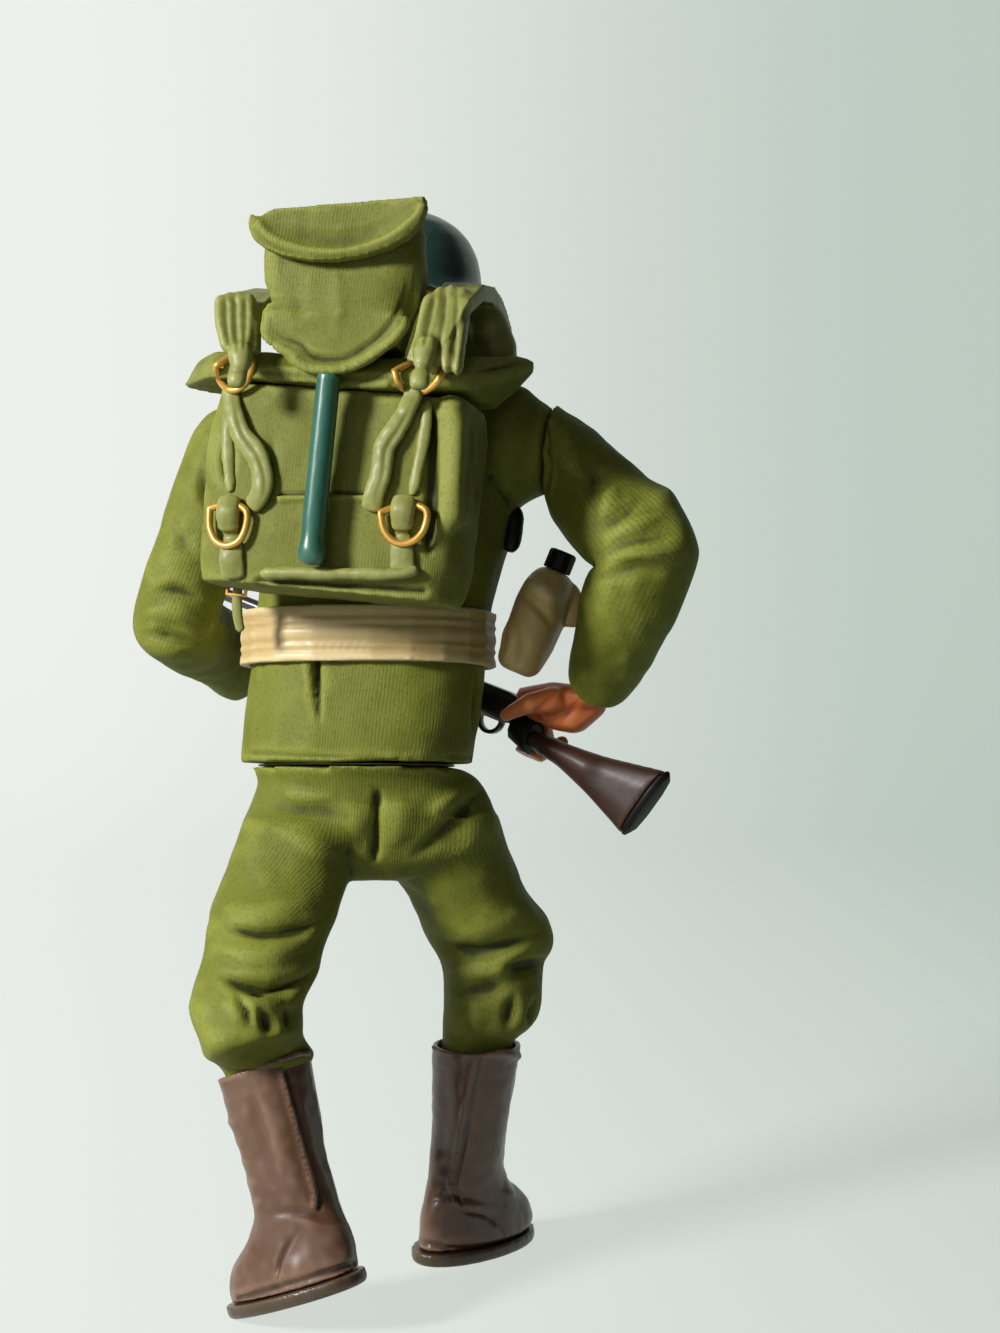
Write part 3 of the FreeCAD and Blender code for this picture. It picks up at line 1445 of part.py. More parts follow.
def make_right_hand():
    """Wraps the wrist of the stock from above."""
    grip = 1.12 * mm("grip_radius")
    drop = 0.8 * mm("wrist_drop")
    half = mm("collar_length") / 2
    over = grip + mm("palm_half_depth")
    knuckles = rifle_point(0, over / 4, over - drop)
    ends = [rifle_point(0, -over, -drop), rifle_point(0, -0.7 * over, -0.8 * over - drop)]
    wrist = rifle_room(
        (
            (-half - mm("butt_length") / 2, mm("wrist_drop"), grip, grip),
            (-half, mm("wrist_drop"), grip, grip),
            (half, 0.6 * mm("wrist_drop"), grip, grip),
        )
    )
    body = mm("receiver_height") / 2
    block = rifle_room(((half, 0, body, grip), (mm("receiver_length"), 0, body, grip)))
    return make_hand(right_stations, knuckles, ends, wrist.fuse(block))


def make_left_hand():
    """Holds the forend from below."""
    wood = 1.12 * mm("forend_radius")
    drop = 0.25 * mm("forend_radius")
    start = receiver_start() + mm("receiver_length")
    x = start + 0.62 * mm("forend_length")
    under = wood + drop + mm("palm_half_depth")
    knuckles = rifle_point(x, under / 3, -under)
    ends = [rifle_point(x, -0.8 * under, -0.75 * under), rifle_point(x, -1.05 * under, 0)]
    room = rifle_room(((start, drop, wood, wood), (start + mm("forend_length"), drop, wood, wood)))
    return make_hand(left_stations, knuckles, ends, room)


feature("right_hand", make_right_hand(), torso)
feature("left_hand", make_left_hand(), torso)

# The middle of the figure's footprint becomes the origin.
doc.recompute()
box = FreeCAD.BoundBox()
for piece in nodes:
    box.add(piece.Shape.optimalBoundingBox(False))
shift = Placement(Vector(-box.Center.x, -box.Center.y, -box.ZMin), Rotation())
for piece in nodes:
    piece.Placement = shift * piece.Placement
doc.recompute()

os.makedirs("parts", exist_ok=True)
for piece in nodes:
    if "Invalid" in piece.State or "Error" in piece.State:
        raise RuntimeError("%s did not compute: %s" % (piece.Label, piece.State))
    if piece.Shape.isNull() or not piece.Shape.isValid():
        raise RuntimeError("%s has no valid shape" % piece.Label)
for piece in nodes:
    piece.Shape.exportStep("parts/%s.step" % piece.Label)

mass_centre = Vector(0, 0, 0)
volume = 0.0
for piece in nodes:
    for solid in piece.Shape.Solids:
        mass_centre += solid.CenterOfMass * solid.Volume
        volume += solid.Volume
print("pieces", len(nodes), "size", round(box.XLength, 2), round(box.YLength, 2), round(box.ZLength, 2))
print("centre of volume", [round(v, 2) for v in mass_centre * (1 / volume)])
for name, place, direction in (
    ("waist_turn", shift * hem, Z_AXIS),
    ("neck_turn", shift * torso * Placement(neck_point, Rotation()), Z_AXIS),
    ("arms_raise", shift * torso * Placement(axle_point, Rotation()), -X_AXIS),
):
    axis = place.Rotation.multVec(direction)
    print(name, [round(v, 5) for v in place.Base], [round(v, 6) for v in axis])
print("shift", [round(v, 4) for v in shift.Base])
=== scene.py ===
import json
import math

import bmesh
import bpy
import numpy as np
from mathutils import Euler, Matrix, Vector, kdtree, noise
from mathutils.bvhtree import BVHTree

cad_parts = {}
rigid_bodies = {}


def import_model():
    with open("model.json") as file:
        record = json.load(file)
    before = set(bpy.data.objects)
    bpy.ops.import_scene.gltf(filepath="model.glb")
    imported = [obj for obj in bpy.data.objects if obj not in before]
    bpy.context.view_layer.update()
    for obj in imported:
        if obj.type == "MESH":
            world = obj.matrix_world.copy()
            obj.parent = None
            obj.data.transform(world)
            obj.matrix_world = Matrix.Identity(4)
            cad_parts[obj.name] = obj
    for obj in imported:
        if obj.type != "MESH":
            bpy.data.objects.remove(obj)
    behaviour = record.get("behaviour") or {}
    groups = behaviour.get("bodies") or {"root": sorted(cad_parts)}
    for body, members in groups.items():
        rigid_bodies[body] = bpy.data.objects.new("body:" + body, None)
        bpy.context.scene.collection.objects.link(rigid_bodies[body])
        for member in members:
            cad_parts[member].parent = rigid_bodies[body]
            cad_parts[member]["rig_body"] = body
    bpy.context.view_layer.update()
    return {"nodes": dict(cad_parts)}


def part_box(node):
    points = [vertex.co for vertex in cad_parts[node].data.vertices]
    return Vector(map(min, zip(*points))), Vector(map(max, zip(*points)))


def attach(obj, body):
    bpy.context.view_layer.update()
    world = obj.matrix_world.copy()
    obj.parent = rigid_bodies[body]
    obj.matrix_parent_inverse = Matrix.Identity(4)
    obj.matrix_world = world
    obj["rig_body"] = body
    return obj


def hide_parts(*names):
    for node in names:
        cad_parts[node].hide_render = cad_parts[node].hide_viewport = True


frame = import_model()
scene = bpy.context.scene

# The toy soldier's own places and the photograph's view, in millimetres and pixels.
MM = 0.001
SHIFT = Vector((-1.3153, 2.0366, 0))
WAIST = Vector((5.6, 1.0, 68.0)) + SHIFT
TORSO_TURN = Euler((math.radians(7), math.radians(-5), math.radians(-14)), "XYZ").to_matrix()
BACKWARD = TORSO_TURN @ Vector((0, 1, 0))
HEM_DROP = 12.5
HEM_TILT = math.radians(6.4)
CHEST = -9
PACK_BACK = 21.0
CROTCH_ACROSS = 3.6
KNIT_PITCH = 0.44
TROUSER_RIBS = 130
JACKET_RIBS = 176
CAMERA_SPOT = Vector((-8.5, 228.0, 78.0)) + SHIFT
CAMERA_DOWN = math.radians(3)
PICTURE_WIDTH = 1000
PICTURE_HEIGHT = 1333
FOCUS = 2100
FILM = 36
# In metres, like the places of the lamps.
FIGURE_MIDDLE = Vector((0, 0, 0.06))


def on_torso(x, y, z, start=WAIST):
    """The point so far to the left, to the back and up from the waist or another start."""
    return start + TORSO_TURN @ Vector((x, y, z))


SIGHT = Vector((0, -math.cos(CAMERA_DOWN), -math.sin(CAMERA_DOWN)))
RIGHTWARD = Vector((-1, 0, 0))
UPWARD = Vector((0, -math.sin(CAMERA_DOWN), math.cos(CAMERA_DOWN)))


def at_picture(across, down, back):
    """The point on the line of sight through a place in the picture that lies so far back."""
    right = (across - PICTURE_WIDTH / 2) / FOCUS
    low = (down - PICTURE_HEIGHT / 2) / FOCUS
    ray = SIGHT + RIGHTWARD * right - UPWARD * low
    return CAMERA_SPOT + ray * ((back - CAMERA_SPOT.y) / ray.y)


def flowing(points, steps):
    """A smooth curve through the points, as a list of closer points."""
    points = [np.array(point, dtype=float) for point in points]
    if len(points) < 3:
        return points
    padded = [2 * points[0] - points[1]] + points + [2 * points[-1] - points[-2]]
    curve = []
    for a, b, c, d in zip(padded, padded[1:], padded[2:], padded[3:]):
        for i in range(steps):
            t = i / steps
            bend = (2 * a - 5 * b + 4 * c - d) * t ** 2 + (3 * b - a - 3 * c + d) * t ** 3
            curve.append(0.5 * (2 * b + (c - a) * t + bend))
    return curve + [points[-1]]


def through(points, steps=6):
    """The same smooth curve, as vectors."""
    return [Vector(point) for point in flowing(points, steps)]


def solids(*nodes):
    """The meshes of some CAD nodes together, in metres."""
    shape = bmesh.new()
    for node in nodes:
        shape.from_mesh(frame["nodes"][node].data)
    return shape


class Surface:
    """The outside of some CAD solids, to lay pieces on."""

    def __init__(self, *nodes):
        shape = solids(*nodes)
        bmesh.ops.scale(shape, vec=(1 / MM,) * 3, verts=shape.verts)
        self.tree = BVHTree.FromBMesh(shape)
        shape.free()

    def under(self, across, down, lift, back):
        """The point of the surface seen at a place in the picture, lifted off a little."""
        ray = at_picture(across, down, 0) - CAMERA_SPOT
        place = self.tree.ray_cast(CAMERA_SPOT, ray.normalized())[0]
        place = place or self.tree.find_nearest(at_picture(across, down, back))[0]
        return place + BACKWARD * lift

    def line(self, route, lift, back=22.0, steps=6):
        """A smooth route over the surface, from places in the picture."""
        lifts = lift if isinstance(lift, (list, tuple)) else [lift] * len(route)
        return through([self.under(x, y, high, back) for (x, y), high in zip(route, lifts)], steps)


def band(route, across, deep):
    """A soft strap along a route, so wide and so thick at its start, middle and end."""
    def add(shape):
        before = None
        last = len(route) - 1
        for k, point in enumerate(route):
            share = k / last
            near, far = (0, 1) if share < 0.5 else (1, 2)
            mix = (share - 0.5 * near) * 2
            wide = across[near] * (1 - mix) + across[far] * mix
            thick = deep[near] * (1 - mix) + deep[far] * mix
            close = 0.55 if k in (0, last) else 1.0
            way = (route[min(k + 1, last)] - route[max(k - 1, 0)]).normalized()
            out = (BACKWARD - way * BACKWARD.dot(way)).normalized()
            turn = Matrix((way.cross(out), out, way)).transposed().to_4x4()
            place = Matrix.Translation(point) @ turn @ Matrix.Diagonal((wide * close, thick * close, 1, 1))
            ring = bmesh.ops.create_circle(
                shape, cap_ends=k in (0, last), segments=14, radius=1, matrix=place
            )["verts"]
            edges = list({edge for vert in ring for edge in vert.link_edges})
            if before:
                bmesh.ops.bridge_loops(shape, edges=before + edges)
            before = edges
    return add


class Side:
    """A flat drawing of the figure from one side, in which strokes are given."""

    def __init__(self, to, across, up):
        self.to = np.array(to)
        self.across = np.array(across)
        self.up = np.array(up)

    def places(self, points):
        return np.stack([points @ self.across, points @ self.up], axis=1)


class Picture(Side):
    """The view of the camera, in which strokes are given in the picture's own places."""

    def places(self, points):
        offset = points - np.array(CAMERA_SPOT)
        depth = offset @ np.array(SIGHT)
        across = PICTURE_WIDTH / 2 + FOCUS * (offset @ self.across) / depth
        down = PICTURE_HEIGHT / 2 - FOCUS * (offset @ self.up) / depth
        return np.stack([across, down], axis=1)


PICTURE = Picture(-SIGHT, RIGHTWARD, UPWARD)
FRONT = Side((0, -1, 0), (1, 0, 0), (0, 0, 1))


def on_front(places, depth=CHEST, start=WAIST):
    """Places at one depth on the torso or the head, in the drawing from the front."""
    points = [on_torso(x, depth, z, start) for x, z in places]
    return [(point.x, point.z) for point in points]


def eased(low, high, value):
    """0 up to low, 1 from high, and a smooth rise between them."""
    share = np.clip((value - low) / (high - low), 0, 1)
    return share * share * (3 - 2 * share)


def read(items, name, kind=np.int32, width=1):
    """One property of all the items of a mesh, as an array."""
    values = np.zeros(len(items) * width, dtype=kind)
    items.foreach_get(name, values)
    return values.reshape(-1, width) if width > 1 else values


def final_mesh(form):
    """The mesh that an object's modifiers and bevel give; the object itself goes."""
    scene.collection.objects.link(form)
    mesh = bpy.data.meshes.new_from_object(form.evaluated_get(bpy.context.evaluated_depsgraph_get()))
    bpy.data.objects.remove(form)
    return mesh


class Clay:
    """A soft copy of a CAD solid, worked with strokes like modelling clay.

    Grain is how fine its mesh is, rounds is how often it is smoothed, and crisp is how far round
    a sharp edge it keeps its form.
    """

    def __init__(self, node, grain, rounds, crisp, fold_angle=60, extra=(), afresh=False):
        self.name = node
        shape = bmesh.new() if afresh else solids(node)
        bmesh.ops.scale(shape, vec=(1 / MM,) * 3, verts=shape.verts)
        bmesh.ops.remove_doubles(shape, verts=shape.verts, dist=0.001)
        sharp = []
        for edge in shape.edges:
            if len(edge.link_faces) == 2 and edge.calc_face_angle() > math.radians(fold_angle):
                start, end = edge.verts[0].co, edge.verts[1].co
                steps = max(1, int((end - start).length / (2 * grain)))
                sharp += [start.lerp(end, i / steps) for i in range(steps + 1)]
        for add in extra:
            add(shape)
        mesh = bpy.data.meshes.new(self.name + "_clay")
        shape.to_mesh(mesh)
        shape.free()
        form = bpy.data.objects.new(self.name + "_clay", mesh)
        remesh = form.modifiers.new("grain", "REMESH")
        remesh.mode = "VOXEL"
        remesh.voxel_size = grain
        self.mesh = final_mesh(form)
        self.points = read(self.mesh.vertices, "co", float, 3)
        self.ends = read(self.mesh.edges, "vertices", width=2)
        count = len(self.points)
        self.degree = np.maximum(np.bincount(self.ends.ravel(), minlength=count), 1)
        # Darkness along creases, from the strokes: wash and painted shade.
        self.ink_and_shade = np.zeros(count)
        self.weave = None
        self.weight = np.ones(count)
        if sharp:
            tree = kdtree.KDTree(len(sharp))
            for i, point in enumerate(sharp):
                tree.insert(point, i)
            tree.balance()
            reach = np.array([tree.find(point)[2] for point in self.points])
            self.weight = 0.04 + 0.96 * eased(0.2 * crisp, crisp, reach)
        self.soften(rounds)
        self.start = self.points.copy()

    def mean(self, values):
        """Each point's mean over its neighbours."""
        total = np.zeros_like(values)
        for k in range(values.shape[1]):
            for near, far in ((0, 1), (1, 0)):
                total[:, k] += np.bincount(
                    self.ends[:, near], weights=values[self.ends[:, far], k], minlength=len(values)
                )
        return total / self.degree[:, None]

    def normals(self):
        self.mesh.vertices.foreach_set("co", self.points.ravel())
        self.mesh.update()
        return read(self.mesh.vertices, "normal", float, 3)

    def soften(self, rounds):
        """Rounds the facets off, then swells the form back to the size it had."""
        before = self.points.copy()
        for i in range(rounds):
            weight = np.ones_like(self.weight) if i < 2 else self.weight
            self.points += 0.5 * weight[:, None] * (self.mean(self.points) - self.points)
        normals = self.normals()
        lost = np.sum((before - self.points) * normals, axis=1)
        self.points += normals * (np.mean(lost) * self.weight)[:, None]

    def path(self, side, route):
        """Distance from a route, side of it and share along it, for every point."""
        places = side.places(self.points)
        route = np.array(flowing(route, 4))
        runs = np.linalg.norm(np.diff(route, axis=0), axis=1)
        total = runs.sum()
        best = np.full(len(places), 1e9)
        hand = np.zeros(len(places))
        along = np.zeros(len(places))
        gone = 0
        for start, end, run in zip(route[:-1], route[1:], runs):
            way = (end - start) / run
            offset = places - start
            share = np.clip(offset @ way, 0, run)
            gap = offset - share[:, None] * way
            reach = np.linalg.norm(gap, axis=1)
            closer = reach < best
            best[closer] = reach[closer]
            hand[closer] = (way[0] * offset[:, 1] - way[1] * offset[:, 0])[closer]
            along[closer] = (gone + share)[closer]
            gone += run
        return best, np.sign(hand), along, total

    def stroke(self, route, width, height, ink_and_shade=None, fade=0.45, beat=0, side=PICTURE, fold=False):
        """Raises a ridge, presses a groove where height is below 0, or lays a fold along a route."""
        reach, hand, along, total = self.path(side, route)
        normals = self.normals()
        seen = eased(0.0, 0.35, normals @ side.to)
        share = along / total
        taper = eased(-0.001, fade, share) * eased(-0.001, fade, 1 - share) if fade else np.ones_like(share)
        seen = seen * taper
        width = width * (0.45 + 0.55 * taper)
        if beat:
            seen = seen * (0.35 + 0.65 * (np.sin(2 * math.pi * along / beat) > -0.2))
        push = height * np.exp(-(reach / width) ** 2)
        if fold:
            signed = hand * reach / width
            push = height * (0.75 * np.exp(-(signed - 1.1) ** 2) - 0.8 * np.exp(-(signed / 0.55) ** 2))
        self.points += normals * (push * seen)[:, None]
        # Grooves and folds get a dark line: wash and painted shade in the crease.
        if ink_and_shade is None:
            ink_and_shade = min(0.12, 0.15 * abs(height)) if fold or height < 0 else 0
        if ink_and_shade:
            line = np.exp(-(reach / (0.8 * width)) ** 2)
            self.ink_and_shade = np.maximum(self.ink_and_shade, ink_and_shade * line * seen)

    def strokes(self, *rows, side=PICTURE):
        """Several strokes in turn, each with route, width, height, dark line, fade and beat."""
        for row in rows:
            self.stroke(*row, side=side)

    def fill(self, route, width, depth):
        """Swells the form sideways and out round a route."""
        reach = self.path(PICTURE, route)[0]
        push = self.normals()
        for i in range(12):
            push = self.mean(push)
        self.points += push * (depth * np.exp(-(reach / width) ** 2))[:, None]

    def hold(self, weight, drop):
        """Leaves the form as it was where it must stay clear of its neighbour."""
        self.points = self.start + (self.points - self.start) * weight[:, None]
        self.points[:, 2] += drop * (1 - weight)

    def melt(self, route, width, rounds):
        """Smooths the form away round a route."""
        share = 0.5 * np.exp(-(self.path(PICTURE, route)[0] / width) ** 2)
        for i in range(rounds):
            self.points += share[:, None] * (self.mean(self.points) - self.points)

    def lump(self, size, depth, seed):
        """Uneven hand-made swelling, large and small."""
        normals = self.normals()
        offset = Vector((seed * 7.1, seed * 3.3, seed * 5.7))
        swell = np.array([
            noise.noise(point / size + offset) + 0.35 * noise.noise(point * (3 / size) - offset)
            for point in map(Vector, self.points)
        ])
        self.points += normals * (depth * swell * self.weight)[:, None]

    def wrap(self, route, ribs, seam=(0, -1, 0), flat=1.0):
        """Lays the knit round the form: a coordinate round its route and one along it."""
        route = np.array(route, dtype=float)
        seam = np.array(seam, dtype=float)
        best = np.full(len(self.points), 1e9)
        angle = np.zeros(len(self.points))
        along = np.zeros(len(self.points))
        gone = 0
        for start, end in zip(route[:-1], route[1:]):
            way = end - start
            run = np.linalg.norm(way)
            way /= run
            across = -(seam - way * (seam @ way))
            across /= np.linalg.norm(across)
            third = np.cross(way, across)
            offset = self.points - start
            share = offset @ way
            gap = offset - np.clip(share, 0, run)[:, None] * way
            reach = np.linalg.norm(gap, axis=1)
            closer = reach < best
            best[closer] = reach[closer]
            angle[closer] = np.arctan2(gap @ third / flat, gap @ across)[closer]
            along[closer] = (gone + share)[closer]
            gone += run
        self.weave = (angle / (2 * math.pi) * ribs, along / KNIT_PITCH, ribs)

    def box_wrap(self):
        """Lays the knit over a box on the torso: round its upright corners and up it."""
        local = (self.points - np.array(WAIST)) @ np.array(TORSO_TURN)
        round_it = local[:, 0] + np.sign(local[:, 0]) * np.maximum(PACK_BACK - local[:, 1], 0)
        self.weave = (round_it / KNIT_PITCH, local[:, 2] / KNIT_PITCH, 0)

    def cast(self, finish, gain=2.2):
        """Makes the piece, with its hollows noted for dark wash and painted shade in the creases."""
        normals = self.normals()
        calm = self.points.copy()
        hollow = 0.5 + self.ink_and_shade
        # Fine creases and broad hollows both darken: the broad ones are painted shade between forms.
        for rounds, share in ((6, 1.0), (34, 0.55)):
            for i in range(rounds):
                calm += 0.5 * (self.mean(calm) - calm)
            hollow = hollow + gain * share * np.sum((calm - self.points) * normals, axis=1)
        mesh = self.mesh
        mesh.vertices.foreach_set("co", (self.points * MM).ravel())
        mesh.polygons.foreach_set("use_smooth", np.ones(len(mesh.polygons), dtype=bool))
        mesh.update()
        layer = mesh.attributes.new("hollow", "FLOAT", "POINT")
        layer.data.foreach_set("value", np.clip(hollow, 0, 1).astype(np.float32))
        if self.weave:
            corners = read(mesh.loops, "vertex_index")
            u, v, turns = self.weave
            u, v = u[corners], v[corners]
            if turns:
                first = np.repeat(u[read(mesh.polygons, "loop_start")], read(mesh.polygons, "loop_total"))
                u = u - turns * np.round((u - first) / turns)
            uv = mesh.uv_layers.new(name="weave")
            uv.data.foreach_set("uv", np.stack([u, v], axis=1).astype(np.float32).ravel())
        while mesh.materials:
            mesh.materials.pop()
        mesh.materials.append(finish.material)
        settle(bpy.data.objects.new(self.name + "_form", mesh), self.name)


def settle(piece, node, replaces=True):
    """Puts a finished piece on the body that carries its CAD node."""
    if piece.name not in scene.collection.objects:
        scene.collection.objects.link(piece)
    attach(piece, frame["nodes"][node]["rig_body"])
    if replaces:
        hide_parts(node)


def made(name, shape, finish, smooth=True):
    """An object with its finish, from a bmesh that isn't needed any more."""
    if smooth:
        for face in shape.faces:
            face.smooth = True
    mesh = bpy.data.meshes.new(name)
    shape.to_mesh(mesh)
    shape.free()
    mesh.materials.append(finish.material)
    return bpy.data.objects.new(name, mesh)


# Finishes. Their colours are given as red, green and blue on a screen.
def paint(red, green, blue):
    """A screen colour as the shader wants it."""
    linear = [(v / 255 / 12.92 if v < 10 else ((v / 255 + 0.055) / 1.055) ** 2.4) for v in (red, green, blue)]
    return (*linear, 1.0)


class Value:
    """A shader socket that can stand in a sum."""

    def __init__(self, finish, socket):
        self.finish = finish
        self.socket = socket

    def sum(self, operation, first, second):
        return self.finish.node("Math", {0: first, 1: second}, operation=operation)

    def __add__(self, other):
        return self.sum("ADD", self, other)

    __radd__ = __add__

    def __sub__(self, other):
        return self.sum("SUBTRACT", self, other)

    def __rsub__(self, other):
        return self.sum("SUBTRACT", other, self)

    def __mul__(self, other):
        return self.sum("MULTIPLY", self, other)

    __rmul__ = __mul__


class Finish:
    """A material built from maths on sockets."""

    def __init__(self, name, slot, **fixed):
        self.slot = slot
        self.material = bpy.data.materials.new(name)
        self.material.use_nodes = True
        self.tree = self.material.node_tree
        self.tree.nodes.clear()
        self.shader = self.tree.nodes.new("ShaderNodeBsdfPrincipled")
        end = self.tree.nodes.new("ShaderNodeOutputMaterial")
        self.tree.links.new(self.shader.outputs[0], end.inputs["Surface"])
        self.set(**fixed)

    def feed(self, socket, value):
        if isinstance(value, Value):
            self.tree.links.new(value.socket, socket)
        else:
            socket.default_value = value

    def set(self, **sockets):
        for name, value in sockets.items():
            self.feed(self.shader.inputs[name.replace("_", " ")], value)

    def node(self, kind, sockets, output=0, **settings):
        new = self.tree.nodes.new("ShaderNode" + kind)
        for name, value in settings.items():
            setattr(new, name, value)
        for name, value in sockets.items():
            self.feed(new.inputs[name], value)
        return Value(self, new.outputs[output])

    def place(self):
        return self.node("TexCoord", {}, "Object")

    def hollow(self):
        return self.node("Attribute", {}, "Fac", attribute_name="hollow")

    def cloud(self, scale, detail=3.0, rough=0.55, place=None):
        sockets = {"Vector": place or self.place(), "Scale": scale, "Detail": detail, "Roughness": rough}
        return self.node("TexNoise", sockets, "Fac")

    def step(self, value, low, high):
        sockets = {"Value": value, "From Min": low, "From Max": high}
        return self.node("MapRange", sockets, interpolation_type="SMOOTHSTEP")

    def mix(self, share, first, second):
        return self.node("Mix", {0: share, 6: first, 7: second}, 2, data_type="RGBA")

    def bump(self, height, distance, strength):
        return self.node("Bump", {"Height": height, "Distance": distance * MM, "Strength": strength})

    def sine(self, value):
        return self.node("Math", {0: value}, operation="SINE")

    def parts(self, vector):
        split = self.node("SeparateXYZ", {"Vector": vector})
        outputs = split.socket.node.outputs
        return [Value(self, outputs[k]) for k in range(3)]


def washed_and_shaded(finish, base, wash_and_shade, worn, grit=0.35):
    """Base paint with dark wash and painted shade in the hollows and a dry brush on the raised parts."""
    base, wash_and_shade, worn = (paint(*colour) for colour in (base, wash_and_shade, worn))
    hollow = finish.hollow() + (finish.cloud(900) - 0.5) * (grit * 0.35)
    # The hollows darken towards the dark colour: wash and painted shade.
    dark = finish.step(hollow, 0.55, 1.0) * 0.85
    light = finish.step(1 - hollow, 0.52, 0.75)
    patchy = finish.mix(finish.step(finish.cloud(110), 0.35, 0.7) * 0.5, base, tuple(
        0.5 * (a + b) for a, b in zip(base, worn)
    ))
    return finish.mix(dark, finish.mix(light * 0.75, patchy, worn), wash_and_shade)


def knitted(name, slot, base, wash_and_shade, worn):
    """Moulded knit under matt paint."""
    finish = Finish(name, slot, Roughness=0.66, Specular_IOR_Level=0.28)
    uv = finish.node("UVMap", {}, uv_map="weave")
    u, v = finish.parts(uv)[:2]
    turn = 2 * math.pi
    wobble = (finish.cloud(520, 3) - 0.5) * 6.0
    column = finish.sine((u * (turn * 1.3)) + wobble) * 0.5 + 0.5
    stitch = finish.sine((v * (turn * 1.5)) + (u * (turn * 0.65)) + wobble) * 0.5 + 0.5
    knit = column * (stitch * 0.55 + 0.45)
    grit = finish.cloud(2600, 2, 0.7)
    worked = finish.step(finish.cloud(70, 2), 0.36, 0.6)
    height = knit * (worked * 0.34 + 0.08) + grit * 0.8 + finish.cloud(330, 3) * 1.3
    shade = washed_and_shaded(finish, base, wash_and_shade, worn)
    # The knit's grooves and specks are painted darker, in the same dark colour as the hollows.
    pits = finish.step(1 - knit, 0.55, 1.0) * (worked * 0.15 + 0.04) + finish.step(grit, 0.5, 0.68) * 0.22
    finish.set(
        Base_Color=finish.mix(pits, shade, paint(*wash_and_shade)),
        Normal=finish.bump(height, 0.055, 0.8),
    )
    return finish


UNIFORM = knitted("olive_uniform", "uniform", (114, 120, 37), (32, 35, 7), (144, 148, 60))
PACKCLOTH = knitted("olive_pack", "pack", (115, 119, 43), (32, 34, 9), (150, 153, 73))


def glossy(name, slot, base, wash_and_shade, worn, rough, coat, metal=0.0):
    """Smooth painted plastic."""
    finish = Finish(name, slot, Coat_Weight=coat, Coat_Roughness=0.2, Metallic=metal)
    finish.set(
        Base_Color=washed_and_shaded(finish, base, wash_and_shade, worn, 0.2),
        Roughness=finish.cloud(300) * 0.14 + (rough - 0.07),
        Normal=finish.bump(finish.cloud(1200, 3), 0.02, 0.5),
    )
    return finish


WEBBING = glossy("olive_webbing", "pack", (124, 127, 54), (38, 40, 13), (160, 162, 90), 0.52, 0.06)
HELMET = glossy("teal_helmet", "helmet", (40, 68, 60), (14, 26, 24), (84, 112, 100), 0.36, 0.35)
HANDLE = glossy("teal_handle", "handle", (36, 92, 76), (8, 26, 22), (60, 120, 100), 0.38, 0.35)
GILT = glossy("gilt", "buckle", (200, 138, 44), (90, 50, 12), (224, 174, 84), 0.36, 0.15, 0.5)
SKIN = glossy("painted_skin", "skin", (238, 116, 52), (152, 48, 10), (246, 150, 90), 0.44, 0.12)
CANTEEN = glossy("khaki_cover", "canteen", (216, 184, 114), (112, 82, 34), (236, 212, 156), 0.5, 0.08)
BLACK = glossy("black_plastic", "black", (10, 10, 9), (4, 4, 4), (24, 24, 23), 0.55, 0.03)
GUNMETAL = glossy("dark_gunmetal", "gunmetal", (46, 44, 44), (12, 11, 11), (96, 96, 98), 0.32, 0.3, 0.25)
BOOTS = glossy("brown_boots", "boot", (98, 68, 48), (24, 13, 7), (140, 108, 86), 0.4, 0.2)
SOLES = glossy("worn_soles", "sole", (56, 40, 28), (20, 13, 8), (104, 86, 60), 0.4, 0.2)


def wooden():
    """Brown paint with a faint grain along the rifle."""
    finish = Finish("brown_stock", "wood", Coat_Weight=0.1, Coat_Roughness=0.3, Specular_IOR_Level=0.35)
    along_rifle = {"Vector": finish.place(), "Rotation": (0.15, 0.3, 0.25), "Scale": (60, 400, 400)}
    grain = finish.cloud(4, 4, 0.6, finish.node("Mapping", along_rifle))
    shade = washed_and_shaded(finish, (47, 26, 15), (17, 8, 5), (66, 39, 25))
    finish.set(
        Base_Color=finish.mix(finish.step(grain, 0.35, 0.75) * 0.55, shade, paint(44, 27, 18)),
        Roughness=grain * 0.2 + 0.44,
        Normal=finish.bump(grain, 0.03, 0.6),
    )
    return finish


def belted():
    """Tan paint with streaks along the webbing."""
    finish = Finish("tan_belt", "belt", Roughness=0.5, Coat_Weight=0.08)
    place = finish.node("Mapping", {"Vector": finish.place(), "Scale": (30, 30, 900)})
    streak = finish.cloud(1, 3, 0.6, place)
    shade = washed_and_shaded(finish, (198, 170, 112), (122, 92, 48), (230, 208, 156))
    finish.set(
        Base_Color=finish.mix(finish.step(streak, 0.42, 0.78) * 0.5, shade, paint(168, 136, 82)),
        Normal=finish.bump(streak, 0.05, 0.6),
    )
    return finish


WOOD = wooden()
BELT = belted()
BLACK.set(Specular_IOR_Level=0.16)


def bare(name, slot, colour, rough):
    """Plain painted plastic for CAD solids that keep their shape."""
    finish = Finish(name, slot)
    tone = finish.step(finish.cloud(500), 0.3, 0.75) * 0.3
    red, green, blue, solid = paint(*colour)
    finish.set(
        Base_Color=finish.mix(tone, (red, green, blue, solid), (0.5 * red, 0.5 * green, 0.5 * blue, solid)),
        Roughness=finish.cloud(200) * 0.15 + rough,
        Normal=finish.bump(finish.cloud(1500), 0.02, 0.4),
    )
    return finish


PEG = bare("peg_plastic", "peg", (96, 98, 54), 0.4)
for node in ("pack_peg", "shoulder_axle"):
    mesh = frame["nodes"][node].data
    mesh.materials.clear()
    mesh.materials.append(PEG.material)

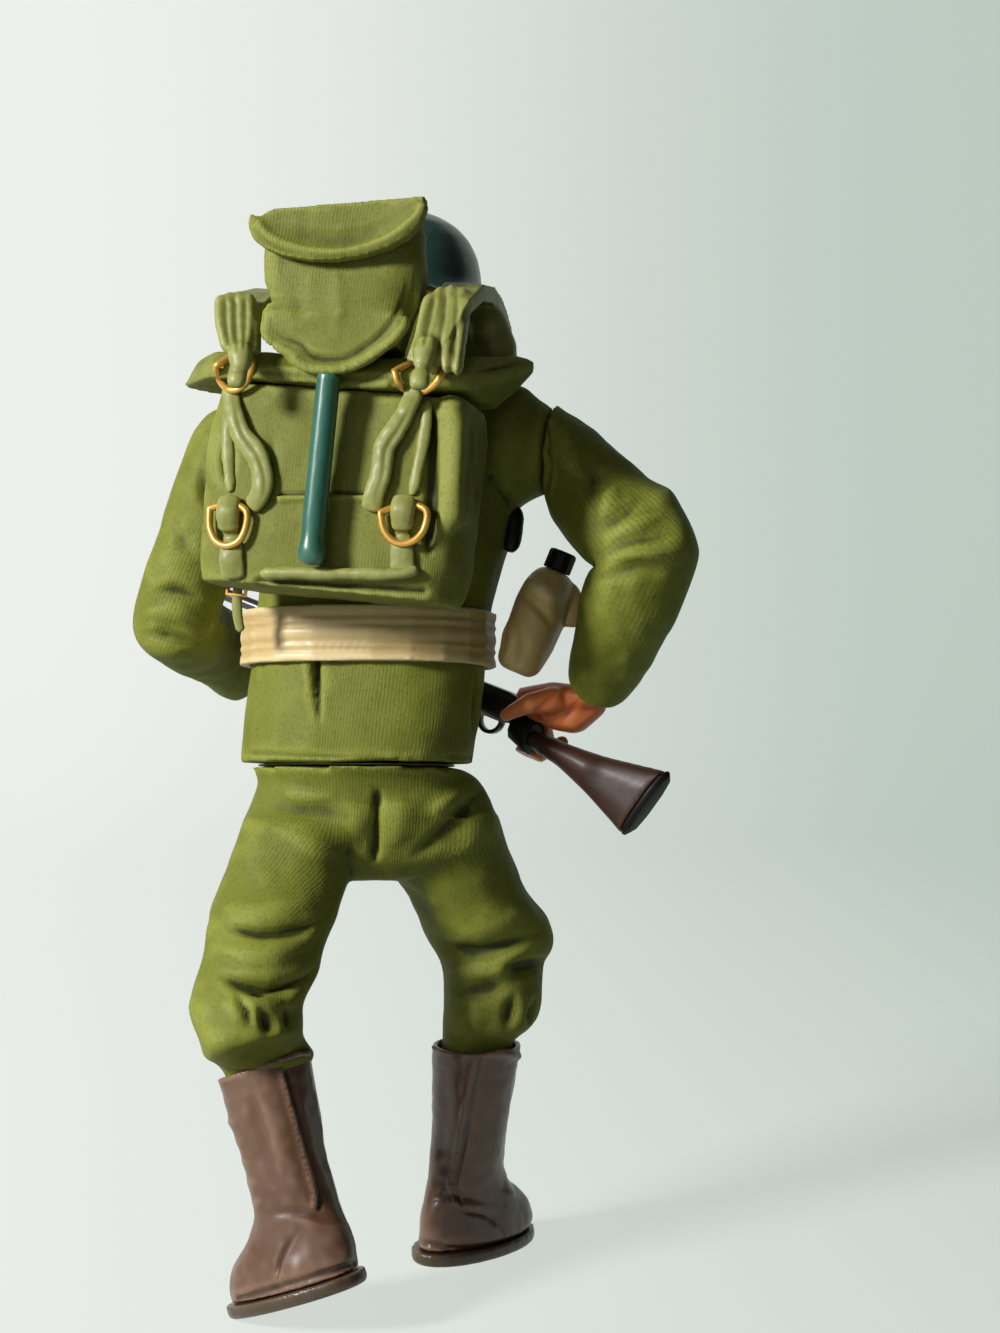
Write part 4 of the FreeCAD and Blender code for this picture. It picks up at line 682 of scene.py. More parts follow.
# Waist peg, with a thin oval flange that fills the seam between trousers and jacket.
HEM_TURN = TORSO_TURN @ Matrix.Rotation(HEM_TILT, 3, "Y")
FLANGE_WIDE, FLANGE_DEEP, FLANGE_THICK, FLANGE_DROP = 10.8, 7.8, 0.16, 0.18
peg = solids("waist_peg")
flange = bmesh.ops.create_cone(peg, cap_ends=True, segments=64, radius1=1, radius2=1, depth=1)
for vertex in flange["verts"]:
    x, y, z = vertex.co
    place = Vector((FLANGE_WIDE * x, FLANGE_DEEP * y, FLANGE_THICK * z - FLANGE_DROP))
    vertex.co = (on_torso(0, 0, -HEM_DROP) + HEM_TURN @ place) * MM
settle(made("waist_peg_form", peg, PEG, False), "waist_peg")


# Trousers, with the folds behind the knees.
legs = Clay("trousers", 0.32, 55, 1.2)
legs.lump(7, 0.35, 1)
legs.strokes(
    ([(375, 738), (377, 780), (377, 815), (374, 866)], 4, -0.9, 0.1, 0.12),
    ([(345, 790), (352, 815), (362, 845)], 14, 0.56),
    ([(400, 785), (400, 815), (392, 850)], 16, 0.63),
)
legs.melt([(246, 806), (290, 816), (340, 812)], 16, 60)
legs.strokes(
    ([(262, 800), (290, 808), (326, 812), (364, 822)], 9, -0.28, 0.01),
    ([(262, 778), (300, 790), (345, 794)], 10, 0.63),
    ([(266, 826), (300, 840), (345, 862)], 14, 0.49),
    ([(490, 776), (468, 808), (440, 836), (404, 862)], 9, -0.8, 0.08),
    ([(470, 770), (448, 800), (418, 822)], 10, 0.56),
    ([(498, 800), (480, 835), (440, 862)], 12, 0.56),
    ([(396, 878), (420, 905), (436, 940)], 9, -0.42),
    ([(218, 925), (258, 932), (300, 930), (330, 916)], 8, -1.1),
    ([(212, 905), (260, 912), (318, 902)], 14, 0.56),
    ([(212, 948), (262, 956), (318, 942)], 12, 0.77),
    ([(212, 972), (240, 984), (272, 990), (304, 982), (326, 960)], 9, -1.8, 0.12),
    ([(212, 1002), (250, 1008), (300, 1003)], 12, 0.7),
    ([(234, 990), (246, 1012), (252, 1034)], 5, -0.84),
    ([(258, 1000), (268, 1024), (276, 1048)], 7, -0.8, 0.04),
    ([(284, 998), (290, 1020), (292, 1042)], 5, -0.7),
)
legs.fill([(218, 1046), (262, 1062), (306, 1052)], 14, 1.3)
legs.melt([(216, 1030), (262, 1046), (308, 1036)], 12, 40)
legs.strokes(
    ([(424, 930), (450, 948), (480, 952), (512, 944), (548, 930)], 9, -1.1, 0.06),
    ([(430, 915), (480, 928), (545, 905)], 14, 0.56),
    ([(446, 968), (485, 972), (530, 958)], 10, 0.7),
    ([(496, 964), (525, 968), (556, 956)], 8, -0.9, 0.06),
    ([(446, 992), (480, 990), (512, 982)], 9, -0.49),
    ([(516, 990), (510, 1012), (506, 1036)], 7, -0.7, 0.04),
    ([(538, 992), (534, 1014), (528, 1036)], 5, -0.84),
    ([(470, 996), (478, 1015), (476, 1034)], 8, 0.49),
)
legs.strokes(
    ([(4.5, 54), (4.2, 46), (4.0, 42)], 0.5, -0.6),
    ([(-8, 50), (-3, 47.5), (3, 46)], 0.9, -0.5),
    ([(16, 50), (11, 47.5), (6, 46)], 0.9, -0.5),
    ([(-13, 38), (-9, 36), (-5, 36.5)], 1.0, -0.6),
    ([(-14, 33), (-9, 31.5), (-4, 33)], 1.0, -0.7),
    ([(12, 40), (16, 38), (20, 39)], 1.0, -0.6),
    ([(12, 34), (16, 32.5), (21, 34)], 1.0, -0.7),
    side=FRONT,
)
# The folds fade out towards the waist, where the jacket has to turn over them.
legs.hold(1 - eased(52.0, 54.6, legs.points[:, 2]), -0.1)
# The right half of the knit follows the right leg, the left half the left leg.
legs.wrap([(4, 2, 58), (3, 3, 44), (-6, -2, 34), (-7, -3, 22)], TROUSER_RIBS)
right_knit = legs.weave
legs.wrap([(4, 2, 58), (5, 4, 44), (14, 10, 34), (14, 15, 25)], TROUSER_RIBS)
on_left = legs.points[:, 0] > CROTCH_ACROSS
both = [np.where(on_left, left, right) for left, right in zip(legs.weave[:2], right_knit[:2])]
legs.weave = (*both, TROUSER_RIBS)
legs.cast(UNIFORM)

# Boots: each has a seam up the back with stitches beside it, cross laces and creases.
BOOT_MARKS = {
    "right_boot": (
        [(477, 1052), (465, 1110), (455, 1160), (450, 1185), (458, 1208)],
        [(526, 1072), (519, 1092), (515, 1112), (510, 1132), (505, 1152), (502, 1172), (506, 1192)],
        ([(448, 1206), (468, 1212), (488, 1216), (502, 1230), (506, 1252)], 2.6, -0.3, 0.1),
        ([(428, 1043), (480, 1049), (530, 1058)], 5, 0.5, None, 0.01),
        ([(446, 1062), (442, 1130), (434, 1190)], 10, -0.3),
        ([(498, 1066), (490, 1130), (482, 1190)], 10, -0.25),
        ([(424, 1204), (450, 1196), (500, 1204)], 6, -0.3),
        ([(410, 1238), (460, 1250), (540, 1240)], 4, -0.3, 0.15, 0.03),
    ),
    "left_boot": (
        [(280, 1064), (295, 1122), (307, 1166), (315, 1196), (313, 1214)],
        [(224, 1082), (229, 1102), (235, 1122), (242, 1142), (249, 1162), (256, 1182), (261, 1202)],
        ([(300, 1228), (284, 1250), (277, 1272), (279, 1290)], 2.6, -0.3, 0.1),
        ([(222, 1072), (270, 1058), (316, 1052)], 5, 0.5, None, 0.01),
        ([(248, 1076), (264, 1148), (282, 1200)], 8, -0.3),
        ([(304, 1080), (322, 1148), (340, 1200)], 8, -0.2),
        ([(260, 1216), (300, 1212), (350, 1226)], 6, -0.25),
        ([(234, 1300), (290, 1284), (374, 1258)], 4, -0.3, 0.15, 0.03),
    ),
}


def laced(node, inward, back, places):
    """Short cross laces over a boot's front edge."""
    leather = Surface(node)
    rows = []
    for across, down in places:
        route = [(across + inward * k, down + drop) for k, drop in ((-8, 1), (-3, 0), (2, -1))]
        rows.append(band(leather.line(route, 0.1, back), (0.4, 0.42, 0.25), (0.4, 0.42, 0.25)))
    return rows


for node, inward, back, seed in (("right_boot", -1, -4, 4), ("left_boot", 1, 18, 5)):
    seam, laces, *creases = BOOT_MARKS[node]
    boot = Clay(node, 0.24, 30, 0.9, extra=laced(node, inward, back, laces))
    boot.strokes(
        (seam, 3.2, 0.32, None, 0.05),
        (seam, 1.4, -0.22, 0.1, 0.05, 6),
        ([(x + 5, y) for x, y in seam], 2.4, -0.2, 0.1, 0.05),
        *creases,
    )
    boot.lump(4, 0.2, seed)
    boot.cast(BOOTS)

for node in ("right_sole", "left_sole"):
    Clay(node, 0.2, 12, 0.5).cast(SOLES, gain=1.2)


# Jacket, with its collar, front edge and two pockets.
jacket = Clay("jacket", 0.34, 50, 1.1)
jacket.lump(8, 0.3, 2)
jacket.strokes(
    ([(313, 590), (315, 660), (317, 700), (319, 736)], 4, -1.2, 0.22),
    ([(306, 600), (307, 660), (311, 700)], 6, 0.25),
    ([(249, 752), (330, 757), (410, 760), (474, 757)], 2.4, -0.18, None, 0.02),
    ([(476, 668), (476, 710), (473, 756)], 3, -0.5),
    ([(500, 398), (518, 392), (540, 402)], 7, 0.4),
)
jacket.stroke(on_front([(-7, 33.5), (-3, 31.5), (1.5, 29.5), (5, 31.5), (8.5, 33.5)]), 0.5, -0.5, side=FRONT)
jacket.stroke(on_front([(1.2, 29.5), (1.0, 18), (0.8, 6)]), 0.4, 0.4, fade=0.03, side=FRONT, fold=True)
POCKET_FLAP = [(3.6, 24), (9.6, 24), (9.6, 21.4), (6.6, 20.6), (3.6, 21.4), (3.6, 24)]
POCKET_BAG = [(3.8, 21), (3.8, 15.6), (9.4, 15.6), (9.4, 21)]
for across in (-1, 1):
    for outline in (POCKET_FLAP, POCKET_BAG):
        pocket = on_front([(across * x + 0.9, z) for x, z in outline])
        jacket.stroke(pocket, 0.35, -0.35, fade=0, side=FRONT)
jacket.stroke(on_front([(0.8, -1.5), (0.6, -12)]), 0.5, 0.6, fade=0.03, side=FRONT, fold=True)
jacket.hold(eased(55.2, 56.6, jacket.points[:, 2]), 0.04)
jacket.wrap([on_torso(0, 1, -14), on_torso(0, 0, 40)], JACKET_RIBS, flat=1.5)
jacket.cast(UNIFORM)

Clay("belt", 0.2, 10, 0.5, 40).cast(BELT)

# Sleeves.
sleeve = Clay("right_sleeve", 0.28, 90, 1.0, 84)
sleeve.lump(6, 0.35, 6)
sleeve.fill([(668, 496), (690, 516)], 18, 1.1)
sleeve.melt([(700, 520), (706, 552), (694, 590)], 22, 90)
sleeve.strokes(
    ([(543, 404), (546, 445), (543, 490), (540, 520)], 5, -1.0, 0.1),
    ([(528, 410), (530, 450), (527, 505)], 8, 0.35),
    ([(560, 420), (566, 452), (584, 482)], 11, 0.55),
    ([(590, 462), (592, 482), (588, 508)], 8, -0.4),
    ([(616, 482), (610, 500), (600, 524)], 8, 0.65),
    ([(592, 534), (622, 516), (648, 492)], 7, -0.4, 0.02),
    ([(600, 540), (630, 528), (668, 512)], 7, 0.45),
    ([(594, 556), (636, 541), (684, 532)], 7, -0.45, 0.02),
    ([(604, 562), (640, 553), (682, 552)], 7, 0.4),
    ([(592, 580), (636, 568), (684, 570)], 8, -0.4, 0.02),
)
sleeve.strokes(
    ([(-15, 80), (-20, 76), (-25, 76)], 1.0, -0.5),
    ([(-15, 76), (-20, 73), (-26, 72)], 1.0, -0.4),
    side=FRONT,
)
sleeve.wrap([(-15, 2.5, 91), (-27, 9.5, 78), (-20, 3, 62)], 78, seam=(0.4, -1, 0))
sleeve.cast(UNIFORM)

sleeve = Clay("left_sleeve", 0.28, 90, 1.0, 84)
sleeve.lump(6, 0.35, 7)
sleeve.melt([(126, 610), (124, 640), (140, 668)], 22, 60)
sleeve.fill([(196, 696), (232, 704)], 14, 1.2)
sleeve.strokes(
    ([(200, 462), (205, 492), (212, 520)], 7, -0.45),
    ([(172, 520), (185, 545), (200, 560)], 8, -0.35),
    ([(150, 592), (175, 590), (205, 600)], 7, -0.5),
    ([(140, 612), (170, 612), (206, 622)], 8, 0.4),
    ([(136, 632), (170, 636), (206, 648)], 7, -0.45),
)
sleeve.stroke([(20, 76), (25, 74), (29, 75)], 1.0, -0.5, side=FRONT)
sleeve.wrap([(18, 0, 92), (26.5, -2, 70), (18, -15, 65)], 72, seam=(0.3, -1, 0))
sleeve.cast(UNIFORM)


# Hands.
def finger(places, radii):
    """A rounded finger through places in the picture, melted into the hand."""
    points = [at_picture(*place) for place in places]

    def add(shape):
        for start, end, thick, thin in zip(points[:-1], points[1:], radii[:-1], radii[1:]):
            for k in range(7):
                place = Matrix.Translation(start.lerp(end, k / 6))
                radius = thick + (thin - thick) * k / 6
                bmesh.ops.create_icosphere(shape, subdivisions=2, radius=radius, matrix=place)
    return add


thumb = finger([(552, 700, 3.6), (530, 703, 4.4), (506, 715, 3.2)], [1.5, 1.15, 0.75])
tip = finger([(562, 742, -5.0), (541, 756, -3.6)], [0.8, 0.75])
back_of_hand = finger([(592, 704, 2.6), (574, 714, 1.8), (556, 716, 1.6)], [1.7, 2.2, 1.6])
fist = Clay("right_hand", 0.17, 16, 0.6, extra=(thumb, tip, back_of_hand))
fist.strokes(
    ([(560, 688), (545, 704), (528, 720)], 4, -0.2),
    ([(582, 694), (570, 712), (556, 728)], 4, -0.2),
)
for x in (-17.2, -15.9, -14.6):
    fist.stroke([(x - 0.5, 62.5), (x, 59), (x + 0.4, 56)], 0.32, -0.3, side=FRONT, fade=0.05)
fist.cast(SKIN)
fist = Clay("left_hand", 0.17, 16, 0.6)
for x in (4.4, 5.7, 7.0):
    fist.stroke([(x, 67), (x + 0.4, 64.5), (x + 0.8, 62)], 0.32, -0.3, side=FRONT, fade=0.05)
fist.cast(SKIN)

# Pack.
pack = Clay("pack_body", 0.28, 45, 0.9)
pack.lump(7, 0.3, 8)
pack.stroke([(276, 495), (300, 494), (340, 493), (382, 495)], 3, 0.6, 0.15, 0.03, fold=True)
pack.strokes(
    ([(442, 392), (455, 420), (455, 470), (450, 540)], 13, 1.3, None, 0.15),
    ([(428, 398), (431, 440), (431, 500), (428, 560)], 6, -0.9, 0.12, 0.15),
    ([(476, 398), (477, 450), (472, 530)], 9, -0.6, 0.03, 0.3),
    ([(222, 400), (216, 450), (219, 500)], 10, 0.5),
    ([(230, 430), (227, 465), (231, 494)], 5, -0.8, 0.12),
    ([(252, 581), (330, 585), (430, 592)], 3.5, -0.5, None, 0.04),
    ([(270, 415), (272, 460), (274, 490)], 6, -0.2),
)
pack.box_wrap()
pack.cast(PACKCLOTH)

lid = Clay("pack_lid", 0.24, 22, 0.8)
lid.lump(5, 0.25, 9)
lid.strokes(
    ([(468, 374), (500, 367), (528, 362)], 3, -0.35),
    ([(186, 392), (205, 384), (222, 380)], 3, -0.3),
    ([(262, 384), (320, 388), (392, 384)], 4, 0.35, None, 0.03),
)
lid.box_wrap()
lid.cast(PACKCLOTH)

pouch = Clay("pouch", 0.24, 40, 0.8)
pouch.fill([(266, 240), (262, 262), (258, 288)], 15, 3.0)
pouch.melt([(246, 280), (246, 330)], 14, 60)
pouch.melt([(420, 296), (412, 325)], 12, 60)
pouch.melt([(248, 303), (330, 303), (418, 306)], 12, 110)
pouch.fill([(264, 250), (261, 275), (257, 296)], 12, 1.9)
pouch.melt([(254, 262), (252, 300), (256, 325)], 9, 30)
pouch.fill([(420, 270), (420, 300)], 12, 0.4)
pouch.lump(6, 0.25, 10)
hem = [
    (258, 300), (262, 330), (272, 346), (292, 354), (307, 368),
    (345, 369), (372, 357), (398, 335), (414, 308), (420, 262),
]
inner = [
    (268, 300), (272, 326), (282, 337), (300, 344), (314, 357),
    (342, 358), (364, 347), (386, 328), (403, 300), (410, 262),
]
pouch.strokes(
    (hem, 4, 0.45, None, 0.2),
    (inner, 3.5, -0.3, 0.02, 0.35),
    ([(335, 258), (338, 300), (336, 350)], 9, 0.22),
    ([(300, 262), (296, 290), (300, 330)], 9, -0.2),
)
pouch.box_wrap()
pouch.cast(PACKCLOTH)

flap = Clay("pouch_flap", 0.2, 22, 0.7)
flap.fill([(244, 198), (256, 206)], 10, -1.1)
flap.lump(5, 0.2, 11)
rim = [(256, 220), (272, 238), (305, 250), (345, 251), (385, 240), (412, 221), (425, 203)]
flap.strokes(
    (rim, 5, 0.45, None, 0.02),
    ([(262, 212), (282, 226), (312, 236), (345, 238), (380, 228), (408, 210)], 8, -0.4, 0.01),
)
flap.box_wrap()
flap.cast(PACKCLOTH)

# Straps: pleated sheaves over the shoulders, wavy free ends and short tabs.
BACK = Surface("pack_body", "pack_lid", "pouch")
SHEAVES = {
    "left": [
        [(221, 296), (222, 325), (228, 352)],
        [(230, 293), (231, 325), (234, 356)],
        [(240, 292), (241, 325), (241, 356)],
        [(250, 295), (250, 325), (246, 350)],
    ],
    "right": [
        [(431, 296), (424, 322), (418, 350)],
        [(441, 288), (436, 318), (428, 348)],
        [(452, 286), (450, 325), (446, 372)],
        [(463, 289), (462, 328), (457, 374)],
    ],
}
LOBES = {"left": [(238, 345), (241, 358), (240, 372)], "right": [(427, 338), (425, 352), (421, 368)]}
MOUNDS = {"left": [(239, 370), (237, 379), (235, 387)], "right": [(421, 370), (420, 380), (419, 389)]}
TAILS = {
    "left": [(231, 385), (236, 412), (243, 434), (256, 452), (264, 474), (263, 494), (251, 508)],
    "right": [(417, 388), (408, 412), (398, 430), (386, 450), (383, 474), (376, 496), (372, 512)],
}
UNDER_TAILS = {
    "left": [(229, 398), (228, 440), (231, 492)],
    "right": [(428, 400), (424, 440), (412, 496)],
}
TABS = {"left": [(232, 496), (231, 514), (231, 533)], "right": [(406, 496), (405, 513), (404, 532)]}
ENDS = {"left": [(232, 540), (233, 560), (234, 580)], "right": [(403, 538), (403, 556), (403, 572)]}
SHEAF_TOP, SHEAF_END = 290, 370
SHEAF_BACK = {"left": (18.6, 22.6), "right": (22.0, 26.6)}


def hanging(side, route, lift=0.0):
    """A smooth route down a sheaf of strap, which leans back as it comes down."""
    top, end = SHEAF_BACK[side]
    lean = (end - top) / (SHEAF_END - SHEAF_TOP)
    return through([at_picture(x, y, top + lean * (y - SHEAF_TOP) + lift) for x, y in route])


def banded(node, grain, rounds, *bands):
    """A piece made of soft bands in place of its plain solid."""
    return Clay(node, grain, rounds, 1, extra=bands, afresh=True)


UNDERLAYS = {
    "left": [(236, 297), (236, 325), (237, 354)],
    "right": [(447, 293), (442, 322), (436, 362)],
}
GUSSETS = {
    "left": [],
    "right": [
        [(466, 302), (484, 318), (492, 345), (492, 372)],
        [(478, 312), (492, 334), (497, 362), (498, 385)],
    ],
}
GUSSET_BACK = 13
for side in ("left", "right"):
    pleats = [band(hanging(side, route), (0.68, 0.64, 0.55), (0.95, 0.95, 0.85)) for route in SHEAVES[side]]
    pleats.append(band(hanging(side, UNDERLAYS[side], -0.1), (2.0, 1.8, 1.2), (0.8, 0.8, 0.7)))
    pleats.append(band(hanging(side, LOBES[side], 0.7), (0.95, 1.25, 0.9), (0.8, 1.0, 0.6)))
    pleats.append(band(hanging(side, MOUNDS[side], 0.3), (0.9, 1.1, 0.9), (0.6, 0.8, 0.6)))
    for route in GUSSETS[side]:
        middle = through([at_picture(x, y, GUSSET_BACK) for x, y in route])
        pleats.append(band(middle, (1.6, 2.2, 1.6), (1.6, 2.4, 1.6)))
    strap = Clay(side + "_shoulder_strap", 0.17, 12, 0.5, extra=pleats)
    for first, second in zip(SHEAVES[side][:-1], SHEAVES[side][1:]):
        between = [((a + c) / 2, (b + d) / 2) for (a, b), (c, d) in zip(first, second)]
        strap.stroke(between, 2.4, -0.16, fade=0.2, ink_and_shade=0.03)
    strap.lump(2.5, 0.12, 12)
    strap.cast(WEBBING)
    wave = BACK.line(TAILS[side], (0.3, 0.6, 0.7, 0.7, 0.7, 0.7, 0.4))
    tail = banded(
        side + "_strap_tail", 0.15, 10,
        band(wave, (0.95, 1.2, 1.05), (0.45, 0.55, 0.45)),
        band(BACK.line(UNDER_TAILS[side], 0.1), (0.6, 0.7, 0.6), (0.35, 0.35, 0.35)),
    )
    tail.stroke(TAILS[side], 3, -0.14)
    tail.lump(2.5, 0.12, 13)
    tail.cast(WEBBING)
    tab = banded(
        side + "_lower_strap", 0.15, 10,
        band(BACK.line(TABS[side], (0.5, 1.0, 0.6)), (1.15, 1.3, 1.05), (0.6, 0.85, 0.6)),
        band(BACK.line(ENDS[side], (0.3, 0.35, 0.25)), (1.2, 1.35, 1.3), (0.4, 0.45, 0.4)),
        band(BACK.line([TABS[side][2], ENDS[side][0], ENDS[side][1]], 0.2), (0.9, 0.9, 0.9), (0.3, 0.3, 0.3)),
    )
    tab.lump(2.0, 0.1, 15)
    tab.cast(WEBBING)

# Hip strap, and the rolled ledge along the pack's bottom.
hip_low, hip_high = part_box("hip_strap")
hip_back = (hip_low[1] + hip_high[1]) / 2 / MM
hip_route = through([at_picture(x, y, hip_back) for x, y in ((238, 586), (237, 602), (238, 618), (241, 632))])
banded("hip_strap", 0.13, 6, band(hip_route, (0.55, 0.6, 0.5), (0.35, 0.35, 0.3))).cast(WEBBING)
LEDGE = [(262, 574), (300, 574), (350, 575), (400, 575), (420, 570)]
ledge_band = band(BACK.line(LEDGE, (0.5, 0.7, 0.7, 0.7, 0.5)), (0.62, 0.68, 0.6), (0.7, 0.75, 0.6))
piping = banded("pack_piping", 0.15, 8, ledge_band)
piping.lump(3, 0.15, 16)
piping.cast(WEBBING)


# Buckles of round gilt wire.
def wire(node, route, thick):
    """A closed ring of round wire along a route, in place of a buckle."""
    curve = bpy.data.curves.new(node + "_wire", "CURVE")
    curve.dimensions = "3D"
    curve.bevel_depth = thick / 2 * MM
    curve.bevel_resolution = 4
    line = curve.splines.new("POLY")
    line.points.add(len(route) - 1)
    for point, place in zip(line.points, route):
        point.co = (*(Vector(place) * MM), 1)
    line.use_cyclic_u = True
    mesh = final_mesh(bpy.data.objects.new(node + "_wire", curve))
    mesh.materials.clear()
    mesh.materials.append(GILT.material)
    for polygon in mesh.polygons:
        polygon.use_smooth = True
    settle(bpy.data.objects.new(node + "_ring", mesh), node)


RINGS = {
    "left_upper_buckle": [
        (219, 368), (223, 382), (231, 391), (242, 391), (251, 381), (255, 362), (237, 356),
    ],
    "right_upper_buckle": [
        (397, 373), (401, 385), (410, 393), (421, 395), (434, 389), (443, 378), (446, 364), (422, 360),
    ],
    "left_lower_buckle": [
        (213, 510), (213, 528), (219, 542), (230, 547), (242, 542), (249, 528), (249, 512), (231, 504),
    ],
    "right_lower_buckle": [
        (383, 514), (386, 530), (394, 541), (405, 545), (418, 541), (427, 529), (428, 511), (405, 505),
    ],
}
for node, places in RINGS.items():
    lifts = [0.9] * (len(places) - 1) + [0.35]
    wire(node, BACK.line(places + places[:1], lifts + [0.9], steps=5)[:-1], 0.72)
middle = at_picture(237, 588, hip_back + 0.2)
corners = [(1, -0.7), (1, 0.7), (-1, 0.7), (-1, -0.7)]
wire("hip_buckle", [on_torso(x, 0, z, middle) for x, z in corners], 0.5)
Clay("belt_buckle", 0.13, 6, 0.3).cast(GILT)

# Shovel handle, canteen and side case.
handle = Clay("shovel_handle", 0.16, 12, 0.5, 70)
handle.melt([(300, 540), (305, 562)], 14, 90)
handle.cast(HANDLE)
canteen = Clay("canteen_cover", 0.2, 24, 0.7, 70)
canteen.lump(4, 0.12, 14)
canteen.strokes(
    ([(508, 588), (530, 600), (546, 616), (556, 634)], 6, -0.5, 0.04),
    ([(520, 578), (542, 590), (562, 608)], 8, 0.55),
    ([(506, 610), (508, 640), (502, 668)], 8, 0.3),
    ([(520, 620), (522, 650), (512, 676)], 5, -0.3),
    ([(500, 600), (503, 635), (500, 668)], 5, -0.3),
)
canteen.cast(CANTEEN, gain=1.3)
Clay("canteen_cap", 0.1, 3, 0.3, 40).cast(BLACK)
CASE_ASIDE = 0.9
case = Clay("side_case", 0.16, 16, 0.4, 70)
case.points[:, 0] += CASE_ASIDE
case.cast(BLACK)


# Rifle: hard edges are kept and lightly broken.
def crisped(node, finish, width=0.12):
    """The CAD solid with its sharp edges lightly rounded."""
    shape = solids(node)
    bmesh.ops.remove_doubles(shape, verts=shape.verts, dist=1e-6)
    bmesh.ops.dissolve_limit(shape, angle_limit=math.radians(2), verts=shape.verts, edges=shape.edges)
    sharp = [e for e in shape.edges if len(e.link_faces) == 2 and e.calc_face_angle() > math.radians(40)]
    bmesh.ops.bevel(
        shape, geom=sharp, offset=width * MM, segments=2, profile=0.5, affect="EDGES",
        material=-1, clamp_overlap=True,
    )
    piece = made(node + "_form", shape, finish)
    piece.data.set_sharp_from_angle(angle=math.radians(35))
    layer = piece.data.attributes.new("hollow", "FLOAT", "POINT")
    layer.data.foreach_set("value", np.full(len(piece.data.vertices), 0.5, dtype=np.float32))
    settle(piece, node)


butt = Clay("rifle_butt", 0.2, 26, 0.6)
butt.fill([(546, 744), (562, 752), (584, 766)], 12, 0.5)
butt.cast(WOOD)
Clay("rifle_forend", 0.2, 22, 0.6).cast(WOOD)
crisped("butt_plate", BLACK)
crisped("grip_collar", BLACK)
crisped("rifle_receiver", GUNMETAL)
crisped("rifle_barrel", GUNMETAL, 0.05)

# Helmet and head.
Clay("helmet", 0.22, 26, 0.6).cast(HELMET, gain=2.0)

HEAD_MIDDLE = on_torso(2.2, -4.6, 41.0)
BROW_DEPTH = -6


def ball(x, y, z, across, deep, tall):
    """A rounded lump on the head."""
    def add(shape):
        size = Matrix.Diagonal((across, deep, tall, 1))
        place = Matrix.Translation(on_torso(x, y, z, HEAD_MIDDLE)) @ TORSO_TURN.to_4x4() @ size
        bmesh.ops.create_icosphere(shape, subdivisions=3, radius=1, matrix=place)
    return add


features = [
    ball(0, -3.9, -5.3, 1.9, 1.9, 1.5),
    ball(0, -5.9, -1.3, 0.75, 1.3, 0.9),
    ball(0, -5.6, -0.2, 0.5, 0.9, 1.6),
]
for side in (-1, 1):
    features += [
        ball(side * 5.0, -0.2, -0.9, 0.6, 1.2, 1.7),
        ball(side * 2.0, -5.0, 0.9, 1.4, 0.7, 0.45),
        ball(side * 2.9, -4.2, -1.8, 1.3, 1.0, 1.1),
        ball(side * 0.7, -5.5, -1.6, 0.45, 0.6, 0.4),
        ball(side * 3.4, -2.0, -4.2, 1.4, 2.0, 1.2),
    ]
features += [ball(0, -5.25, -3.2, 1.5, 0.6, 0.3), ball(0, -5.1, -3.85, 1.2, 0.6, 0.32)]
head = Clay("head", 0.2, 10, 0.5, 75, extra=features)
for side in (-1, 1):
    eye = on_front([(side * 0.9, -0.15), (side * 1.9, 0.05), (side * 2.9, -0.2)], BROW_DEPTH, HEAD_MIDDLE)
    head.stroke(eye, 0.55, -0.45, 0.2, 0.1, side=FRONT)
mouth = on_front([(-1.4, -3.52), (0, -3.52), (1.4, -3.52)], BROW_DEPTH, HEAD_MIDDLE)
head.stroke(mouth, 0.28, -0.2, 0.12, 0.1, side=FRONT)
head.cast(SKIN)


def lens(name, x, y, z, across, deep, tall, finish):
    """A rounded piece of its own on the face."""
    shape = bmesh.new()
    ball(x, y, z, across, deep, tall)(shape)
    bmesh.ops.scale(shape, vec=(MM,) * 3, verts=shape.verts)
    settle(made(name, shape, finish), "head", False)


WHITE = bare("eye_white", "skin", (226, 220, 206), 0.3)
DARK = bare("eye_dark", "skin", (44, 30, 22), 0.35)
for side, word in ((-1, "right"), (1, "left")):
    lens(word + "_eye", side * 1.9, -5.0, -0.2, 0.75, 0.5, 0.36, WHITE)
    lens(word + "_iris", side * 1.85, -5.32, -0.2, 0.33, 0.22, 0.33, DARK)
    lens(word + "_brow", side * 2.0, -5.55, 1.0, 1.1, 0.3, 0.2, DARK)

# Stage, light and camera.
def sweep(finish):
    """A pale sheet under and behind the figure, curved up at the back."""
    shape = bmesh.new()
    bmesh.ops.create_grid(shape, x_segments=1, y_segments=60, size=1.2)
    bend, start = 0.15, -0.35
    for vert in shape.verts:
        over = start - vert.co.y
        if over > 0:
            angle = min(over / bend, math.pi / 2)
            vert.co.y = start - bend * math.sin(angle)
            vert.co.z = bend * (1 - math.cos(angle)) + max(over - bend * math.pi / 2, 0)
    sheet = made("pale_sheet", shape, finish)
    scene.collection.objects.link(sheet)


SHEET = Finish("pale_sheet", "sheet", Roughness=0.95, Specular_IOR_Level=0.05)
